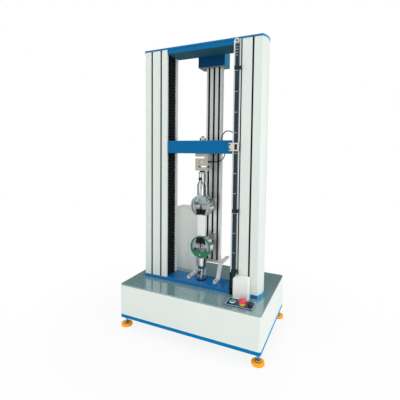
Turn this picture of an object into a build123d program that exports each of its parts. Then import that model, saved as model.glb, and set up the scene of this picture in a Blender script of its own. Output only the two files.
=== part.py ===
from build123d import *
import math
import os

# Dual-column universal testing machine, millimetres.
# The origin is on the floor under the middle of the cabinet, +X right, -Y front, +Z up.

# Levelling feet
FOOT_HEIGHT = 58.0
FOOT_INSET_X = 19.0
FOOT_INSET_Y = 32.0
FOOT_PAD_D = 61.0
FOOT_PAD_THICK = 15.0
FOOT_PAD_ROUND = 5.0
FOOT_SEAT = 2.0
FOOT_STUD_D = 14.0
FOOT_COLLAR_D = 26.0
FOOT_COLLAR_H = 9.0
FOOT_NUT_FLATS = 24.0
FOOT_NUT_H = 10.0
FOOT_STUD_ABOVE = 8.0

# Base cabinet
CABINET_W = 780.0
CABINET_D = 524.0
CABINET_H = 185.0
CORNER_R = 12.0
SHEET = 2.5
SKIRT_H = 18.0
TRAY_FLOOR = 4.0
LEDGE_W = 15.0
WORKTOP_THICK = 6.0
WORKTOP_ROUND = 2.5
VENT_PANEL_W = 420.0
VENT_PANEL_H = 110.0
VENT_PANEL_LAP = 12.0
VENT_SLOT_L = 90.0
VENT_SLOT_H = 5.0
VENT_SLOT_PITCH = 12.0
VENT_ROWS = 6
INLET_W = 48.0
INLET_H = 30.0
INLET_DEPTH = 24.0
INLET_WALL = 4.0

# Chassis inside the cabinet
BEAM_W = 30.0
BEAM_H = 60.0
BEAM_SPAN_Y = 150.0
CHASSIS_SIDE_GAP = 19.0
CHASSIS_END_GAP = 52.0
POST_W = 36.0

# Load frame
COLUMN_GAP = 376.0
COLUMN_W = 141.6
COLUMN_BOW = 15.6
COLUMN_DEPTH = 119.0
COLUMN_FRONT = -109.0
COLUMN_H = 1250.0
COLUMN_WALL = 4.0
FRONT_WALL = 9.0
FRONT_STRIP = 10.5
OPENING_W = 85.0
GROOVE_W = 6.4
GROOVE_DEPTH = 5.0
GROOVE_FIRST = 44.0
GROOVE_PITCH = 58.5
STRIP_RECESS = 1.2
PLATE_THICK = 18.5
PLATE_OVERHANG = 2.0
PLATE_ROUND = 2.0
CAP_THICK = 9.5
TOP_BEAM_H = 23.5
TOP_BEAM_BACK = 6.0
SIDE_CLEAR = 0.5

# Screws, guide rods and drive
LOAD_Y = -50.0
SCREW_OFFSET = 44.0
SCREW_D = 20.0
SCREW_JOURNAL_D = 15.0
SCREW_PASS = 24.0
ROD_OFFSET = 97.0
ROD_D = 30.0
RUN_CLEAR = 0.06
BEARING_H = 22.0
BEARING_D = 44.0
BEARING_BLOCK_W = 70.0
BEARING_BLOCK_H = 36.0
PULLEY_D = 50.0
PULLEY_H = 20.0
PULLEY_FLANGE = 2.0
PULLEY_ABOVE_TRAY = 20.0
BELT_W = 15.0
BELT_THICK = 2.5
BELT_CLEAR = 0.3
MOTOR_Y = 110.0
MOTOR_W = 80.0
MOTOR_L = 105.0
MOTOR_SHAFT_D = 14.0
MOTOR_PILOT_D = 60.0
MOTOR_PILOT_H = 6.0

# Crosshead
CROSSHEAD_Z = 957.0
CROSSHEAD_H = 68.0
CROSSHEAD_D = 110.0
CROSSHEAD_FRONT = -105.0
CROSSHEAD_GAP = 2.5
CROSSHEAD_ROUND = 3.0
ARM_W = 72.0
ARM_CUT = 5.0
ARM_END = 26.0
NUT_D = 38.0
NUT_FLANGE_D = 50.0
NUT_FLANGE_H = 9.0
BUSH_D = 44.0
SEAT_CLEAR = 0.05
CABLE_SLOT_X = 114.0
CABLE_SLOT_L = 40.0
CABLE_SLOT_W = 17.0

# Bellows
BELLOWS_PITCH = 17.0
BELLOWS_FOLD = 11.0
BELLOWS_SKIN = 1.4
BELLOWS_INSET = 2.0
BELLOWS_SIDE_CLEAR = 1.0

# Load cell and its fastenings
CELL_W = 74.0
CELL_H = 92.5
CELL_T = 30.0
CELL_SLOT = 10.0
CELL_SLOT_EDGE = 17.0
CELL_SLOT_L = 54.0
CELL_EYE_D = 26.0
CELL_EYE_DEPTH = 4.0
STUD_D = 16.0
STUD_IN_CELL = 15.0
STUD_NUT_FLATS = 30.0
STUD_NUT_H = 13.0
STUD_WASHER_D = 38.0
STUD_WASHER_H = 3.0
LOCKNUT_D = 30.0
LOCKNUT_H = 8.0

# Load-cell cable, rides in the plane of the load axis
CABLE_D = 5.0
CABLE_BEND = 0.45
GLAND_D = 11.0
GLAND_L = 10.0
CELL_GLAND_Z = 913.0
TOP_GLAND_X = 176.0

# Grip couplings
SOCKET_D = 38.0
SOCKET_FLANGE_D = 44.0
SOCKET_FLANGE_H = 7.0
SOCKET_L = 50.5
SHANK_D = 22.0
SHANK_CLEAR = 0.1
SHANK_TOP_GAP = 4.0
UPPER_PIN_DROP = 35.5
PIN_D = 8.0
PIN_BACK = 4.0
PIN_FRONT = 3.0
KNOB_D = 19.0
KNOB_L = 13.0
KNOB_ROUND = 3.0
NECK_D = 56.0
NECK_L = 81.0
NECK_SHOULDER = 20.0
NECK_ROOT = 10.0
NECK_ROOT_TAPER = 4.0
STEM_D = 40.0
STEM_L = 64.5
STEM_FLANGE_D = 52.0
STEM_FLANGE_H = 5.0
LOWER_PIN_RISE = 48.0
SHANK_BELOW_PIN = 16.0

# Wedge grips
GRIP_D = 118.0
GRIP_T = 45.0
COVER_T = 5.0
COVER_RIM = 8.0
COVER_LINE = 24.0
LOWER_GRIP_RISE = 186.5
FLAT_FROM_AXIS = 51.5
POCKET_DEPTH = 27.0
POCKET_LENGTH = 78.0
POCKET_MOUTH = 46.0
TAPER_DEG = 15.0
JAW_LENGTH = 56.0
JAW_GAP = 8.0
JAW_RECESS = 2.0
JAW_CLEAR = 0.3
TOOTH_PITCH = 4.0
TOOTH_DEPTH = 1.2
HUB_D = 82.0
HUB_NECK_D = 50.0
HUB_L = 12.0
WHEEL_D = 76.0
WHEEL_T = 20.0
WHEEL_FLUTES = 12
WHEEL_FLUTE_D = 12.0
WHEEL_FLUTE_DEPTH = 3.0
WHEEL_GAP = 0.3
WHEEL_SHAFT_D = 14.0

# Limit gear on the right column
BACKING_X = 11.0
BACKING_W = 27.0
BACKING_T = 2.0
RAIL_W = 18.0
RAIL_HEAD_T = 5.0
RAIL_WEB_W = 8.0
RAIL_WEB_T = 3.0
RAIL_BLOCK_H = 22.0
RAIL_BLOCK_T = 14.0
COLLAR_H = 16.0
COLLAR_WALL = 2.4
COLLAR_CLEAR = 0.4
COLLAR_NECK_D = 7.0
COLLAR_NECK_L = 2.0
COLLAR_KNOB_D = 15.0
COLLAR_KNOB_L = 11.0
COLLAR_KNOB_ROUND = 1.5
COLLAR_HEIGHTS = {"upper": 1374.0, "middle": 673.0, "lower": 366.0}
TRIP_W = 50.0
TRIP_H = 40.0
TRIP_T = 4.0
TRIP_GAP = 1.4
TRIP_LEFT = 176.0
TRIP_PAD_W = 9.5
TRIP_WINDOW_W = 15.4
TRIP_WINDOW_H = 28.0
TRIP_WINDOW_EDGE = 6.6
COVER_BOX_X = 31.5
COVER_BOX_W = 75.0
COVER_BOX_D = 45.0
COVER_BOX_H = 107.5
COVER_BOX_ROUND = 8.0
COVER_BOX_WALL = 1.5

# Extensometer
EXT_X = 25.0
EXT_FRONT = 39.0
PROFILE_W = 90.0
PROFILE_T = 30.0
PROFILE_SLOTS = 3
SLOT_NECK = 8.0
SLOT_NECK_T = 2.5
SLOT_HEAD = 15.0
SLOT_HEAD_T = 6.0
HEAD_W = 156.0
HEAD_D = 85.0
HEAD_DROP = 56.0
HEAD_SHIFT = -10.0
STAND_H = 88.0
STAND_PLATE_T = 6.0
RAIL_BAR_W = 22.0
RAIL_BAR_T = 10.0
RAIL_BAR_SPAN = 158.0
STAND_TOP_FRONT = 12.0
STAND_REAR = 139.0
STAND_TOE = 74.0
STAND_SLOT_W = 9.0
STAND_SLOT_L = 34.0
TIP_FLAT = 0.5
STAND_LEAN = {-1: 4.0, 1: 40.0}
CARRIAGE_W = 34.0
CARRIAGE_H = 36.0
CARRIAGE_D = 24.0
CARRIAGE_GAP = 0.4
CARRIAGE_ROUND = 3.0
CARRIAGE_PIN_D = 8.0
CARRIAGE_PIN_L = 16.0
CARRIAGE_HEIGHTS = {"upper": 690.0, "lower": 487.0}

# Control panel
PANEL_FROM_SIDE = 52.0
PANEL_W = 133.0
PANEL_D = 74.0
PANEL_T = 3.0
PANEL_RIM = 2.5
PANEL_RIM_H = 1.5
PANEL_CORNER = 3.0
BARREL_D = 22.0
BARREL_L = 26.0
BARREL_BORE = 15.0
BARREL_CLEAR = 0.3
BEZEL_D = 29.0
BEZEL_H = 8.0
CONTROL_ROUND = 1.0
CAP_D = 21.0
CAP_RISE = 5.0
CAP_TRAVEL = 3.0
CAP_RECESS = 4.0
CAP_STEM_L = 18.0
ESTOP_D = 38.0
ESTOP_HEAD_H = 15.0
ESTOP_ROUND = 6.0
ESTOP_COLLAR_D = 30.0
ESTOP_COLLAR_H = 12.0
ESTOP_SKIRT_GAP = 0.6
ESTOP_TRAVEL = 6.0
SELECTOR_GRIP_L = 19.0
SELECTOR_GRIP_W = 7.0
SELECTOR_GRIP_H = 14.0
START_X = -37.5
START_Y = -6.0
ESTOP_X = 12.5
ESTOP_Y = -8.0
SELECTOR_X = 49.5
SELECTOR_Y = 0.0

# Controller box behind the left column
BOX_RIGHT = -94.0
BOX_FRONT = 90.0
BOX_W = 168.0
BOX_D = 130.0
BOX_H = 374.0
BOX_WALL = 2.0
LID_H = 26.0
LID_LAP = 2.5
HANDLE_X = -154.0
HANDLE_Z = 344.0
HANDLE_L = 114.0
HANDLE_D = 10.0
HANDLE_STAND = 24.0

# Levels and faces that follow from the sizes above
Z_SKIRT = FOOT_HEIGHT + SKIRT_H
Z_TRAY = FOOT_HEIGHT + TRAY_FLOOR
Z_TOP = FOOT_HEIGHT + CABINET_H
Z_LEDGE = Z_TOP - WORKTOP_THICK
Z_PLATE = Z_TOP + PLATE_THICK
Z_CAP = Z_PLATE + COLUMN_H
COLUMN_BACK = COLUMN_FRONT + COLUMN_DEPTH
INNER_X = COLUMN_GAP / 2
CREASE_X = INNER_X + COLUMN_W
OPENING_FRONT = COLUMN_FRONT + FRONT_STRIP
OPENING_BACK = OPENING_FRONT + OPENING_W
OPENING_Y = (OPENING_FRONT + OPENING_BACK) / 2
SCREW_X = INNER_X + SCREW_OFFSET
ROD_X = INNER_X + ROD_OFFSET
CROSSHEAD_TOP = CROSSHEAD_Z + CROSSHEAD_H
ARM_BOTTOM = CROSSHEAD_Z + ARM_CUT
ARM_TOP = CROSSHEAD_TOP - ARM_CUT
GRIP_FRONT = LOAD_Y - GRIP_T / 2
GRIP_BACK = LOAD_Y + GRIP_T / 2
CELL_BOTTOM = CROSSHEAD_Z - CELL_H
SOCKET_TOP = CELL_BOTTOM - LOCKNUT_H
SOCKET_END_Z = SOCKET_TOP - SOCKET_L
UPPER_PIN_Z = SOCKET_TOP - UPPER_PIN_DROP
UPPER_GRIP_Z = SOCKET_END_Z - NECK_L - FLAT_FROM_AXIS
LOWER_PIN_Z = Z_PLATE + LOWER_PIN_RISE
LOWER_GRIP_Z = Z_PLATE + LOWER_GRIP_RISE
STEM_TOP = Z_PLATE + STEM_L
PULLEY_Z = Z_TRAY + PULLEY_ABOVE_TRAY
RAIL_X0 = INNER_X + BACKING_X
RAIL_FACE = COLUMN_FRONT - BACKING_T
RAIL_FRONT = RAIL_FACE - RAIL_WEB_T - RAIL_HEAD_T
STAND_TOP = Z_PLATE + STAND_H
PANEL_FACE = Z_TOP + PANEL_T
FOOT_SPAN_X = CABINET_W - 2 * FOOT_INSET_X
FOOT_SPAN_Y = CABINET_D - 2 * FOOT_INSET_Y
CHASSIS_L = CABINET_W - 2 * CHASSIS_SIDE_GAP
CHASSIS_D = CABINET_D - 2 * CHASSIS_END_GAP
COVER_BOX_BACK = COLUMN_FRONT - PLATE_OVERHANG
COVER_BOX_FRONT = COVER_BOX_BACK - COVER_BOX_D
PANEL_X = CABINET_W / 2 - PANEL_FROM_SIDE - PANEL_W / 2
PANEL_Y = COVER_BOX_FRONT - PANEL_D / 2
START_AT = (PANEL_X + START_X, PANEL_Y + START_Y)
ESTOP_AT = (PANEL_X + ESTOP_X, PANEL_Y + ESTOP_Y)
SELECTOR_AT = (PANEL_X + SELECTOR_X, PANEL_Y + SELECTOR_Y)
CONTROL_PLACES = (START_AT, ESTOP_AT, SELECTOR_AT)
SIDES = (-1, 1)


def block(x0, x1, y0, y1, z0, z1):
    """A box between two corners."""
    middle = Pos((x0 + x1) / 2, (y0 + y1) / 2, (z0 + z1) / 2)
    return middle * Box(x1 - x0, y1 - y0, z1 - z0)


def post(x, y, z0, z1, diameter):
    """An upright cylinder."""
    return Pos(x, y, (z0 + z1) / 2) * Cylinder(diameter / 2, z1 - z0)


def rod_y(x, z, y0, y1, diameter):
    """A cylinder that runs front to back."""
    return Pos(x, (y0 + y1) / 2, z) * Rot(90, 0, 0) * Cylinder(diameter / 2, y1 - y0)


def rod_x(y, z, x0, x1, diameter):
    """A cylinder that runs left to right."""
    return Pos((x0 + x1) / 2, y, z) * Rot(0, 90, 0) * Cylinder(diameter / 2, x1 - x0)


def hexagon(x, y, z0, z1, flats):
    """An upright hexagonal prism."""
    return Pos(x, y, z0) * extrude(RegularPolygon(flats / 2, 6, major_radius=False), z1 - z0)


def turned(x, y, profile):
    """A body turned about an upright axis from (radius, z) points."""
    face = make_face(Polyline(*profile, close=True))
    return Pos(x, y, 0) * revolve(Plane.XZ * face, Axis.Z)


def save(name, *solids):
    """Write one node, with one solid or a group of separate solids."""
    shape = solids[0] if len(solids) == 1 else Compound(children=list(solids))
    export_step(shape, f"parts/{name}.step")


def rounded_block(width, depth, z0, z1, radius):
    """A box about the middle axis with round upright edges."""
    return Pos(0, 0, z0) * extrude(RectangleRounded(width, depth, radius), z1 - z0)


def foot_places():
    """Axes of the four feet."""
    return [(sx * FOOT_SPAN_X / 2, sy * FOOT_SPAN_Y / 2) for sx in SIDES for sy in SIDES]


def foot_pad(x, y):
    """A resilient pad with rounded rims and a seat for the stud's collar."""
    pad = post(x, y, 0, FOOT_PAD_THICK, FOOT_PAD_D)
    rims = pad.edges().filter_by(GeomType.CIRCLE)
    pad = fillet(rims, FOOT_PAD_ROUND)
    return pad - post(x, y, FOOT_PAD_THICK - FOOT_SEAT, FOOT_PAD_THICK + 1, FOOT_COLLAR_D)


def foot_stud(x, y):
    """A threaded stud with its collar and the lock nut under the tray."""
    low = FOOT_PAD_THICK - FOOT_SEAT
    stud = post(x, y, low, Z_TRAY + FOOT_STUD_ABOVE, FOOT_STUD_D)
    collar = post(x, y, low, low + FOOT_COLLAR_H, FOOT_COLLAR_D - 2 * SEAT_CLEAR)
    nut = hexagon(x, y, FOOT_HEIGHT - FOOT_NUT_H, FOOT_HEIGHT, FOOT_NUT_FLATS)
    return stud + collar + nut


def base_tray():
    """Floor pan whose rim is the coloured band round the foot of the cabinet."""
    tray = rounded_block(CABINET_W, CABINET_D, FOOT_HEIGHT, Z_SKIRT, CORNER_R)
    tray -= rounded_block(CABINET_W - 2 * SHEET, CABINET_D - 2 * SHEET, Z_TRAY, Z_SKIRT + 1, CORNER_R - SHEET)
    for x, y in foot_places():
        tray -= post(x, y, FOOT_HEIGHT - 1, Z_TRAY + 1, FOOT_STUD_D + 2 * SEAT_CLEAR)
    return tray


def barrel_rooms():
    """Clearance for the barrels of the three controls, from under them to above the worktop."""
    low = PANEL_FACE - BARREL_L - BARREL_CLEAR
    room_d = BARREL_D + 2 * BARREL_CLEAR
    return [post(x, y, low, Z_TOP + 1, room_d) for x, y in CONTROL_PLACES]


def base_cabinet():
    """Sheet shell with an inward ledge under the worktop and a vent opening behind."""
    shell = rounded_block(CABINET_W, CABINET_D, Z_SKIRT, Z_LEDGE, CORNER_R)
    shell -= rounded_block(CABINET_W - 2 * SHEET, CABINET_D - 2 * SHEET, Z_SKIRT - 1, Z_LEDGE - SHEET,
                           CORNER_R - SHEET)
    inner_w = CABINET_W - 2 * (SHEET + LEDGE_W)
    inner_d = CABINET_D - 2 * (SHEET + LEDGE_W)
    shell -= rounded_block(inner_w, inner_d, Z_LEDGE - SHEET - 1, Z_LEDGE + 1, CORNER_R)
    middle_z = (Z_SKIRT + Z_LEDGE) / 2
    shell -= Pos(0, CABINET_D / 2, middle_z) * Box(VENT_PANEL_W, 4 * SHEET, VENT_PANEL_H)
    for room in barrel_rooms():
        shell -= room
    return shell


def rear_panel():
    """Louvred panel behind the vent opening, with the mains inlet set in it."""
    middle_z = (Z_SKIRT + Z_LEDGE) / 2
    y1 = CABINET_D / 2 - SHEET
    lap_w = VENT_PANEL_W / 2 + VENT_PANEL_LAP
    lap_h = VENT_PANEL_H / 2 + VENT_PANEL_LAP
    panel = block(-lap_w, lap_w, y1 - SHEET, y1, middle_z - lap_h, middle_z + lap_h)
    slot = extrude(SlotOverall(VENT_SLOT_L, VENT_SLOT_H), 4 * SHEET, both=True)
    slot = Pos(0, y1, 0) * Rot(90, 0, 0) * slot
    lowest = middle_z - VENT_SLOT_PITCH * (VENT_ROWS - 1) / 2
    for column_x in (-VENT_PANEL_W / 4, VENT_PANEL_W / 4):
        for row in range(VENT_ROWS):
            panel -= Pos(column_x, 0, lowest + row * VENT_SLOT_PITCH) * slot
    half_w = INLET_W / 2
    half_h = INLET_H / 2
    hole = block(-half_w, half_w, y1 - 2 * SHEET, y1 + SHEET, middle_z - half_h, middle_z + half_h)
    inlet = block(-half_w, half_w, y1 - INLET_DEPTH, y1, middle_z - half_h, middle_z + half_h)
    half_w -= INLET_WALL
    half_h -= INLET_WALL
    floor_y = y1 - INLET_DEPTH + INLET_WALL
    inlet -= block(-half_w, half_w, floor_y, y1 + 1, middle_z - half_h, middle_z + half_h)
    return panel - hole, inlet


def worktop():
    """Worktop with passages for the screws and a cut-out under the control panel."""
    top = rounded_block(CABINET_W, CABINET_D, Z_LEDGE, Z_TOP, CORNER_R)
    top = fillet(top.faces().sort_by(Axis.Z)[-1].edges(), WORKTOP_ROUND)
    for side in SIDES:
        top -= post(side * SCREW_X, LOAD_Y, Z_LEDGE - 1, Z_TOP + 1, SCREW_PASS)
    for room in barrel_rooms():
        top -= room
    return top


def chassis_frame():
    """Welded frame under the worktop: two long beams, two end frames on posts."""
    frame = None
    for side in SIDES:
        y = LOAD_Y + side * BEAM_SPAN_Y / 2
        x = side * (CHASSIS_L - POST_W) / 2
        beam = block(-CHASSIS_L / 2, CHASSIS_L / 2, y - BEAM_W / 2, y + BEAM_W / 2, Z_LEDGE - BEAM_H, Z_LEDGE)
        end = block(x - POST_W / 2, x + POST_W / 2, -CHASSIS_D / 2, CHASSIS_D / 2, Z_LEDGE - BEAM_H, Z_LEDGE)
        frame = beam + end if frame is None else frame + beam + end
        for end_side in SIDES:
            y_post = end_side * (CHASSIS_D - POST_W) / 2
            frame += block(x - POST_W / 2, x + POST_W / 2, y_post - POST_W / 2, y_post + POST_W / 2, Z_TRAY,
                           Z_LEDGE)
    for room in barrel_rooms():
        frame -= room
    return frame


def bowed_side(x, y0, y1, bow):
    """Outer side of a column, bowed outwards."""
    return ThreePointArc((x, y0), (x + math.copysign(bow, x), (y0 + y1) / 2), (x, y1))


def plate_outline(overhang):
    """Outline over both columns, with bowed ends."""
    x = CREASE_X + overhang
    y0 = COLUMN_FRONT - overhang
    y1 = COLUMN_BACK + overhang
    ends = bowed_side(x, y0, y1, COLUMN_BOW) + bowed_side(-x, y0, y1, COLUMN_BOW)
    return make_face(ends + Line((-x, y0), (x, y0)) + Line((-x, y1), (x, y1)))


def base_plate():
    """Thick painted plate that carries the columns and the lower stem."""
    plate = Pos(0, 0, Z_TOP) * extrude(plate_outline(PLATE_OVERHANG), PLATE_THICK)
    plate = fillet(plate.faces().sort_by(Axis.Z)[-1].edges(), PLATE_ROUND)
    for side in SIDES:
        plate -= post(side * SCREW_X, LOAD_Y, Z_TOP - 1, Z_PLATE + 1, SCREW_PASS)
    return plate


def top_plate():
    """Cap over the columns and the top beam."""
    plate = Pos(0, 0, Z_CAP) * extrude(plate_outline(PLATE_OVERHANG), CAP_THICK)
    return fillet(plate.faces().sort_by(Axis.Z)[-1].edges(), PLATE_ROUND)


def groove_places():
    """Distances of the front grooves from the machine's middle plane."""
    first = CREASE_X - GROOVE_FIRST
    return first, first - GROOVE_PITCH


def column(side):
    """Hollow extrusion, open towards the test space, grooved in front."""
    outline = Polyline((CREASE_X, COLUMN_FRONT), (INNER_X, COLUMN_FRONT), (INNER_X, COLUMN_BACK),
                       (CREASE_X, COLUMN_BACK))
    skin = make_face(outline + bowed_side(CREASE_X, COLUMN_FRONT, COLUMN_BACK, COLUMN_BOW))
    hollow = offset(skin, -COLUMN_WALL)
    front_y = COLUMN_FRONT + FRONT_WALL / 2
    front_wall = Pos(CREASE_X, front_y) * Rectangle(4 * COLUMN_W, FRONT_WALL)
    opening = Pos(INNER_X, OPENING_Y) * Rectangle(4 * COLUMN_WALL, OPENING_W)
    section = skin - (hollow - front_wall) - opening
    for x in groove_places():
        section -= Pos(x, COLUMN_FRONT) * Rectangle(GROOVE_W, 2 * GROOVE_DEPTH)
    body = Pos(0, 0, Z_PLATE) * extrude(section, COLUMN_H)
    return body if side > 0 else mirror(body, Plane.YZ)


def groove_strips():
    """Dark strips pressed into the front grooves."""
    y0 = COLUMN_FRONT + STRIP_RECESS
    y1 = COLUMN_FRONT + GROOVE_DEPTH
    return [block(side * x - GROOVE_W / 2, side * x + GROOVE_W / 2, y0, y1, Z_PLATE, Z_CAP)
            for side in SIDES for x in groove_places()]


def top_beam():
    """Beam between the heads of the columns."""
    x = INNER_X - SIDE_CLEAR
    return block(-x, x, COLUMN_FRONT, COLUMN_BACK + TOP_BEAM_BACK, Z_CAP - TOP_BEAM_H, Z_CAP)


def toothed_pulley(x, y, bore):
    """Flanged belt pulley on an upright shaft."""
    r = PULLEY_D / 2
    rim = r + BELT_CLEAR + BELT_THICK + 1
    z0 = PULLEY_Z
    z1 = PULLEY_Z + PULLEY_H
    profile = [(bore / 2, z0), (rim, z0), (rim, z0 + PULLEY_FLANGE), (r, z0 + PULLEY_FLANGE),
               (r, z1 - PULLEY_FLANGE), (rim, z1 - PULLEY_FLANGE), (rim, z1), (bore / 2, z1)]
    return turned(x, y, profile)


def ball_screw(side):
    """Screw with its end journals, and the belt pulley on its lower end."""
    x = side * SCREW_X
    low = Z_LEDGE + SEAT_CLEAR
    high = Z_CAP - BEARING_H - SEAT_CLEAR
    screw = post(x, LOAD_Y, low, high, SCREW_D)
    screw += post(x, LOAD_Y, PULLEY_Z, low, SCREW_JOURNAL_D)
    screw += post(x, LOAD_Y, high, Z_CAP - SEAT_CLEAR, SCREW_JOURNAL_D)
    return screw, toothed_pulley(x, LOAD_Y, SCREW_JOURNAL_D + 2 * SEAT_CLEAR)


def screw_bearings():
    """Upper bearing rings under the cap and lower bearing blocks under the worktop."""
    bore = SCREW_JOURNAL_D + 2 * RUN_CLEAR
    half = BEARING_BLOCK_W / 2
    bearings = []
    for side in SIDES:
        x = side * SCREW_X
        upper = post(x, LOAD_Y, Z_CAP - BEARING_H, Z_CAP, BEARING_D)
        bearings.append(upper - post(x, LOAD_Y, Z_CAP - BEARING_H - 1, Z_CAP + 1, bore))
        low = Z_LEDGE - BEARING_BLOCK_H
        lower = block(x - half, x + half, LOAD_Y - half, LOAD_Y + half, low, Z_LEDGE)
        bearings.append(lower - post(x, LOAD_Y, low - 1, Z_LEDGE + 1, bore))
    return bearings


def guide_rods():
    """Plain rods between the base plate and the cap."""
    return [post(side * ROD_X, LOAD_Y, Z_PLATE, Z_CAP, ROD_D) for side in SIDES]


def servo_motor():
    """Motor hung under the worktop, shaft down."""
    half = MOTOR_W / 2
    low = Z_LEDGE - MOTOR_L
    body = block(-half, half, MOTOR_Y - half, MOTOR_Y + half, low, Z_LEDGE)
    body = fillet(body.edges().filter_by(Axis.Z), CORNER_R)
    pilot = post(0, MOTOR_Y, low - MOTOR_PILOT_H, low, MOTOR_PILOT_D)
    bore = post(0, MOTOR_Y, low - MOTOR_PILOT_H - 1, low + PULLEY_H, MOTOR_SHAFT_D + 2 * RUN_CLEAR)
    return body + pilot - bore


def motor_pulley():
    """Motor shaft with its pulley, turned in one piece."""
    shaft = post(0, MOTOR_Y, PULLEY_Z, Z_LEDGE - MOTOR_L + PULLEY_H - SEAT_CLEAR, MOTOR_SHAFT_D)
    return shaft + toothed_pulley(0, MOTOR_Y, MOTOR_SHAFT_D / 2)


def drive_belt():
    """Closed belt round both screw pulleys and the motor pulley."""
    triangle = make_face(Polyline((-SCREW_X, LOAD_Y), (SCREW_X, LOAD_Y), (0, MOTOR_Y), close=True))
    inner = PULLEY_D / 2 + BELT_CLEAR
    loop = offset(triangle, inner + BELT_THICK, kind=Kind.ARC) - offset(triangle, inner, kind=Kind.ARC)
    return Pos(0, 0, PULLEY_Z + (PULLEY_H - BELT_W) / 2) * extrude(loop, BELT_W)


def crosshead():
    """Moving beam with an arm into each column and a slot for the cell cable."""
    x = INNER_X - CROSSHEAD_GAP
    back = CROSSHEAD_FRONT + CROSSHEAD_D
    beam = block(-x, x, CROSSHEAD_FRONT, back, CROSSHEAD_Z, CROSSHEAD_TOP)
    beam = fillet(beam.edges().filter_by(Axis.X), CROSSHEAD_ROUND)
    for side in SIDES:
        end = ROD_X + ARM_END
        x0, x1 = sorted((side * (x - 1), side * end))
        beam += block(x0, x1, OPENING_Y - ARM_W / 2, OPENING_Y + ARM_W / 2, ARM_BOTTOM, ARM_TOP)
        beam -= post(side * SCREW_X, LOAD_Y, CROSSHEAD_Z, CROSSHEAD_TOP, NUT_D + 2 * SEAT_CLEAR)
        beam -= post(side * ROD_X, LOAD_Y, CROSSHEAD_Z, CROSSHEAD_TOP, BUSH_D + 2 * SEAT_CLEAR)
    beam -= post(0, LOAD_Y, CROSSHEAD_Z - 1, CROSSHEAD_TOP + 1, STUD_D + 2 * SEAT_CLEAR)
    slot = extrude(SlotOverall(CABLE_SLOT_L, CABLE_SLOT_W), CROSSHEAD_H + 2)
    beam -= Pos(CABLE_SLOT_X, LOAD_Y, CROSSHEAD_Z - 1) * slot
    pad = CROSSHEAD_TOP - 1
    return beam - post(TOP_GLAND_X, LOAD_Y, pad, CROSSHEAD_TOP + 1, GLAND_D / 2)


def nuts_and_bushes():
    """Flanged ball nuts and plain guide bushes in the crosshead's arms."""
    fittings = []
    for side in SIDES:
        x = side * SCREW_X
        nut = post(x, LOAD_Y, ARM_BOTTOM, ARM_TOP, NUT_D)
        nut += post(x, LOAD_Y, ARM_TOP, ARM_TOP + NUT_FLANGE_H, NUT_FLANGE_D)
        bore = post(x, LOAD_Y, ARM_BOTTOM - 1, ARM_TOP + NUT_FLANGE_H + 1, SCREW_D + 2 * RUN_CLEAR)
        fittings.append(nut - bore)
        x = side * ROD_X
        bush = post(x, LOAD_Y, ARM_BOTTOM, ARM_TOP, BUSH_D)
        fittings.append(bush - post(x, LOAD_Y, ARM_BOTTOM - 1, ARM_TOP + 1, ROD_D + 2 * RUN_CLEAR))
    return fittings


def bellows(side, z0, z1):
    """Pleated cover over one column's opening, between two levels."""
    folds = 2 * round((z1 - z0) / BELLOWS_PITCH)
    step = (z1 - z0) / folds
    near = INNER_X + BELLOWS_INSET
    face = [(near + (BELLOWS_FOLD if i % 2 else 0), z0 + i * step) for i in range(folds + 1)]
    back = [(x + BELLOWS_SKIN, z) for x, z in reversed(face)]
    y0 = OPENING_FRONT + BELLOWS_SIDE_CLEAR
    profile = Plane.XZ * make_face(Polyline(*face, *back, close=True))
    pleats = Pos(0, y0, 0) * extrude(profile, -(OPENING_W - 2 * BELLOWS_SIDE_CLEAR))
    return pleats if side > 0 else mirror(pleats, Plane.YZ)


def load_cell():
    """S-type cell: two opposed slots and a round gauge pocket on each face."""
    half_w = CELL_W / 2
    y0 = LOAD_Y - CELL_T / 2
    y1 = LOAD_Y + CELL_T / 2
    cell = block(-half_w, half_w, y0, y1, CELL_BOTTOM, CROSSHEAD_Z)
    upper = CROSSHEAD_Z - CELL_SLOT_EDGE
    lower = CELL_BOTTOM + CELL_SLOT_EDGE
    cell -= block(-half_w - 1, -half_w + CELL_SLOT_L, y0 - 1, y1 + 1, upper - CELL_SLOT, upper)
    cell -= block(half_w - CELL_SLOT_L, half_w + 1, y0 - 1, y1 + 1, lower, lower + CELL_SLOT)
    middle = (upper + lower) / 2
    cell -= rod_y(0, middle, y0 - 1, y0 + CELL_EYE_DEPTH, CELL_EYE_D)
    cell -= rod_y(0, middle, y1 - CELL_EYE_DEPTH, y1 + 1, CELL_EYE_D)
    hole = STUD_D + 2 * SEAT_CLEAR
    cell -= post(0, LOAD_Y, CROSSHEAD_Z - STUD_IN_CELL, CROSSHEAD_Z + 1, hole)
    cell -= post(0, LOAD_Y, CELL_BOTTOM - 1, CELL_BOTTOM + STUD_IN_CELL, hole)
    return cell


def load_cell_fasteners():
    """Stud, washer and nut above the cell, and the lock ring below it."""
    nut_top = CROSSHEAD_TOP + STUD_WASHER_H + STUD_NUT_H
    stud = post(0, LOAD_Y, CROSSHEAD_Z - STUD_IN_CELL, nut_top + FOOT_STUD_ABOVE, STUD_D)
    stud += post(0, LOAD_Y, CROSSHEAD_TOP, CROSSHEAD_TOP + STUD_WASHER_H, STUD_WASHER_D)
    stud += hexagon(0, LOAD_Y, CROSSHEAD_TOP + STUD_WASHER_H, nut_top, STUD_NUT_FLATS)
    ring = post(0, LOAD_Y, SOCKET_TOP, CELL_BOTTOM, LOCKNUT_D)
    ring -= post(0, LOAD_Y, SOCKET_TOP - 1, CELL_BOTTOM + 1, STUD_D + 2 * SEAT_CLEAR)
    return stud, ring


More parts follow.
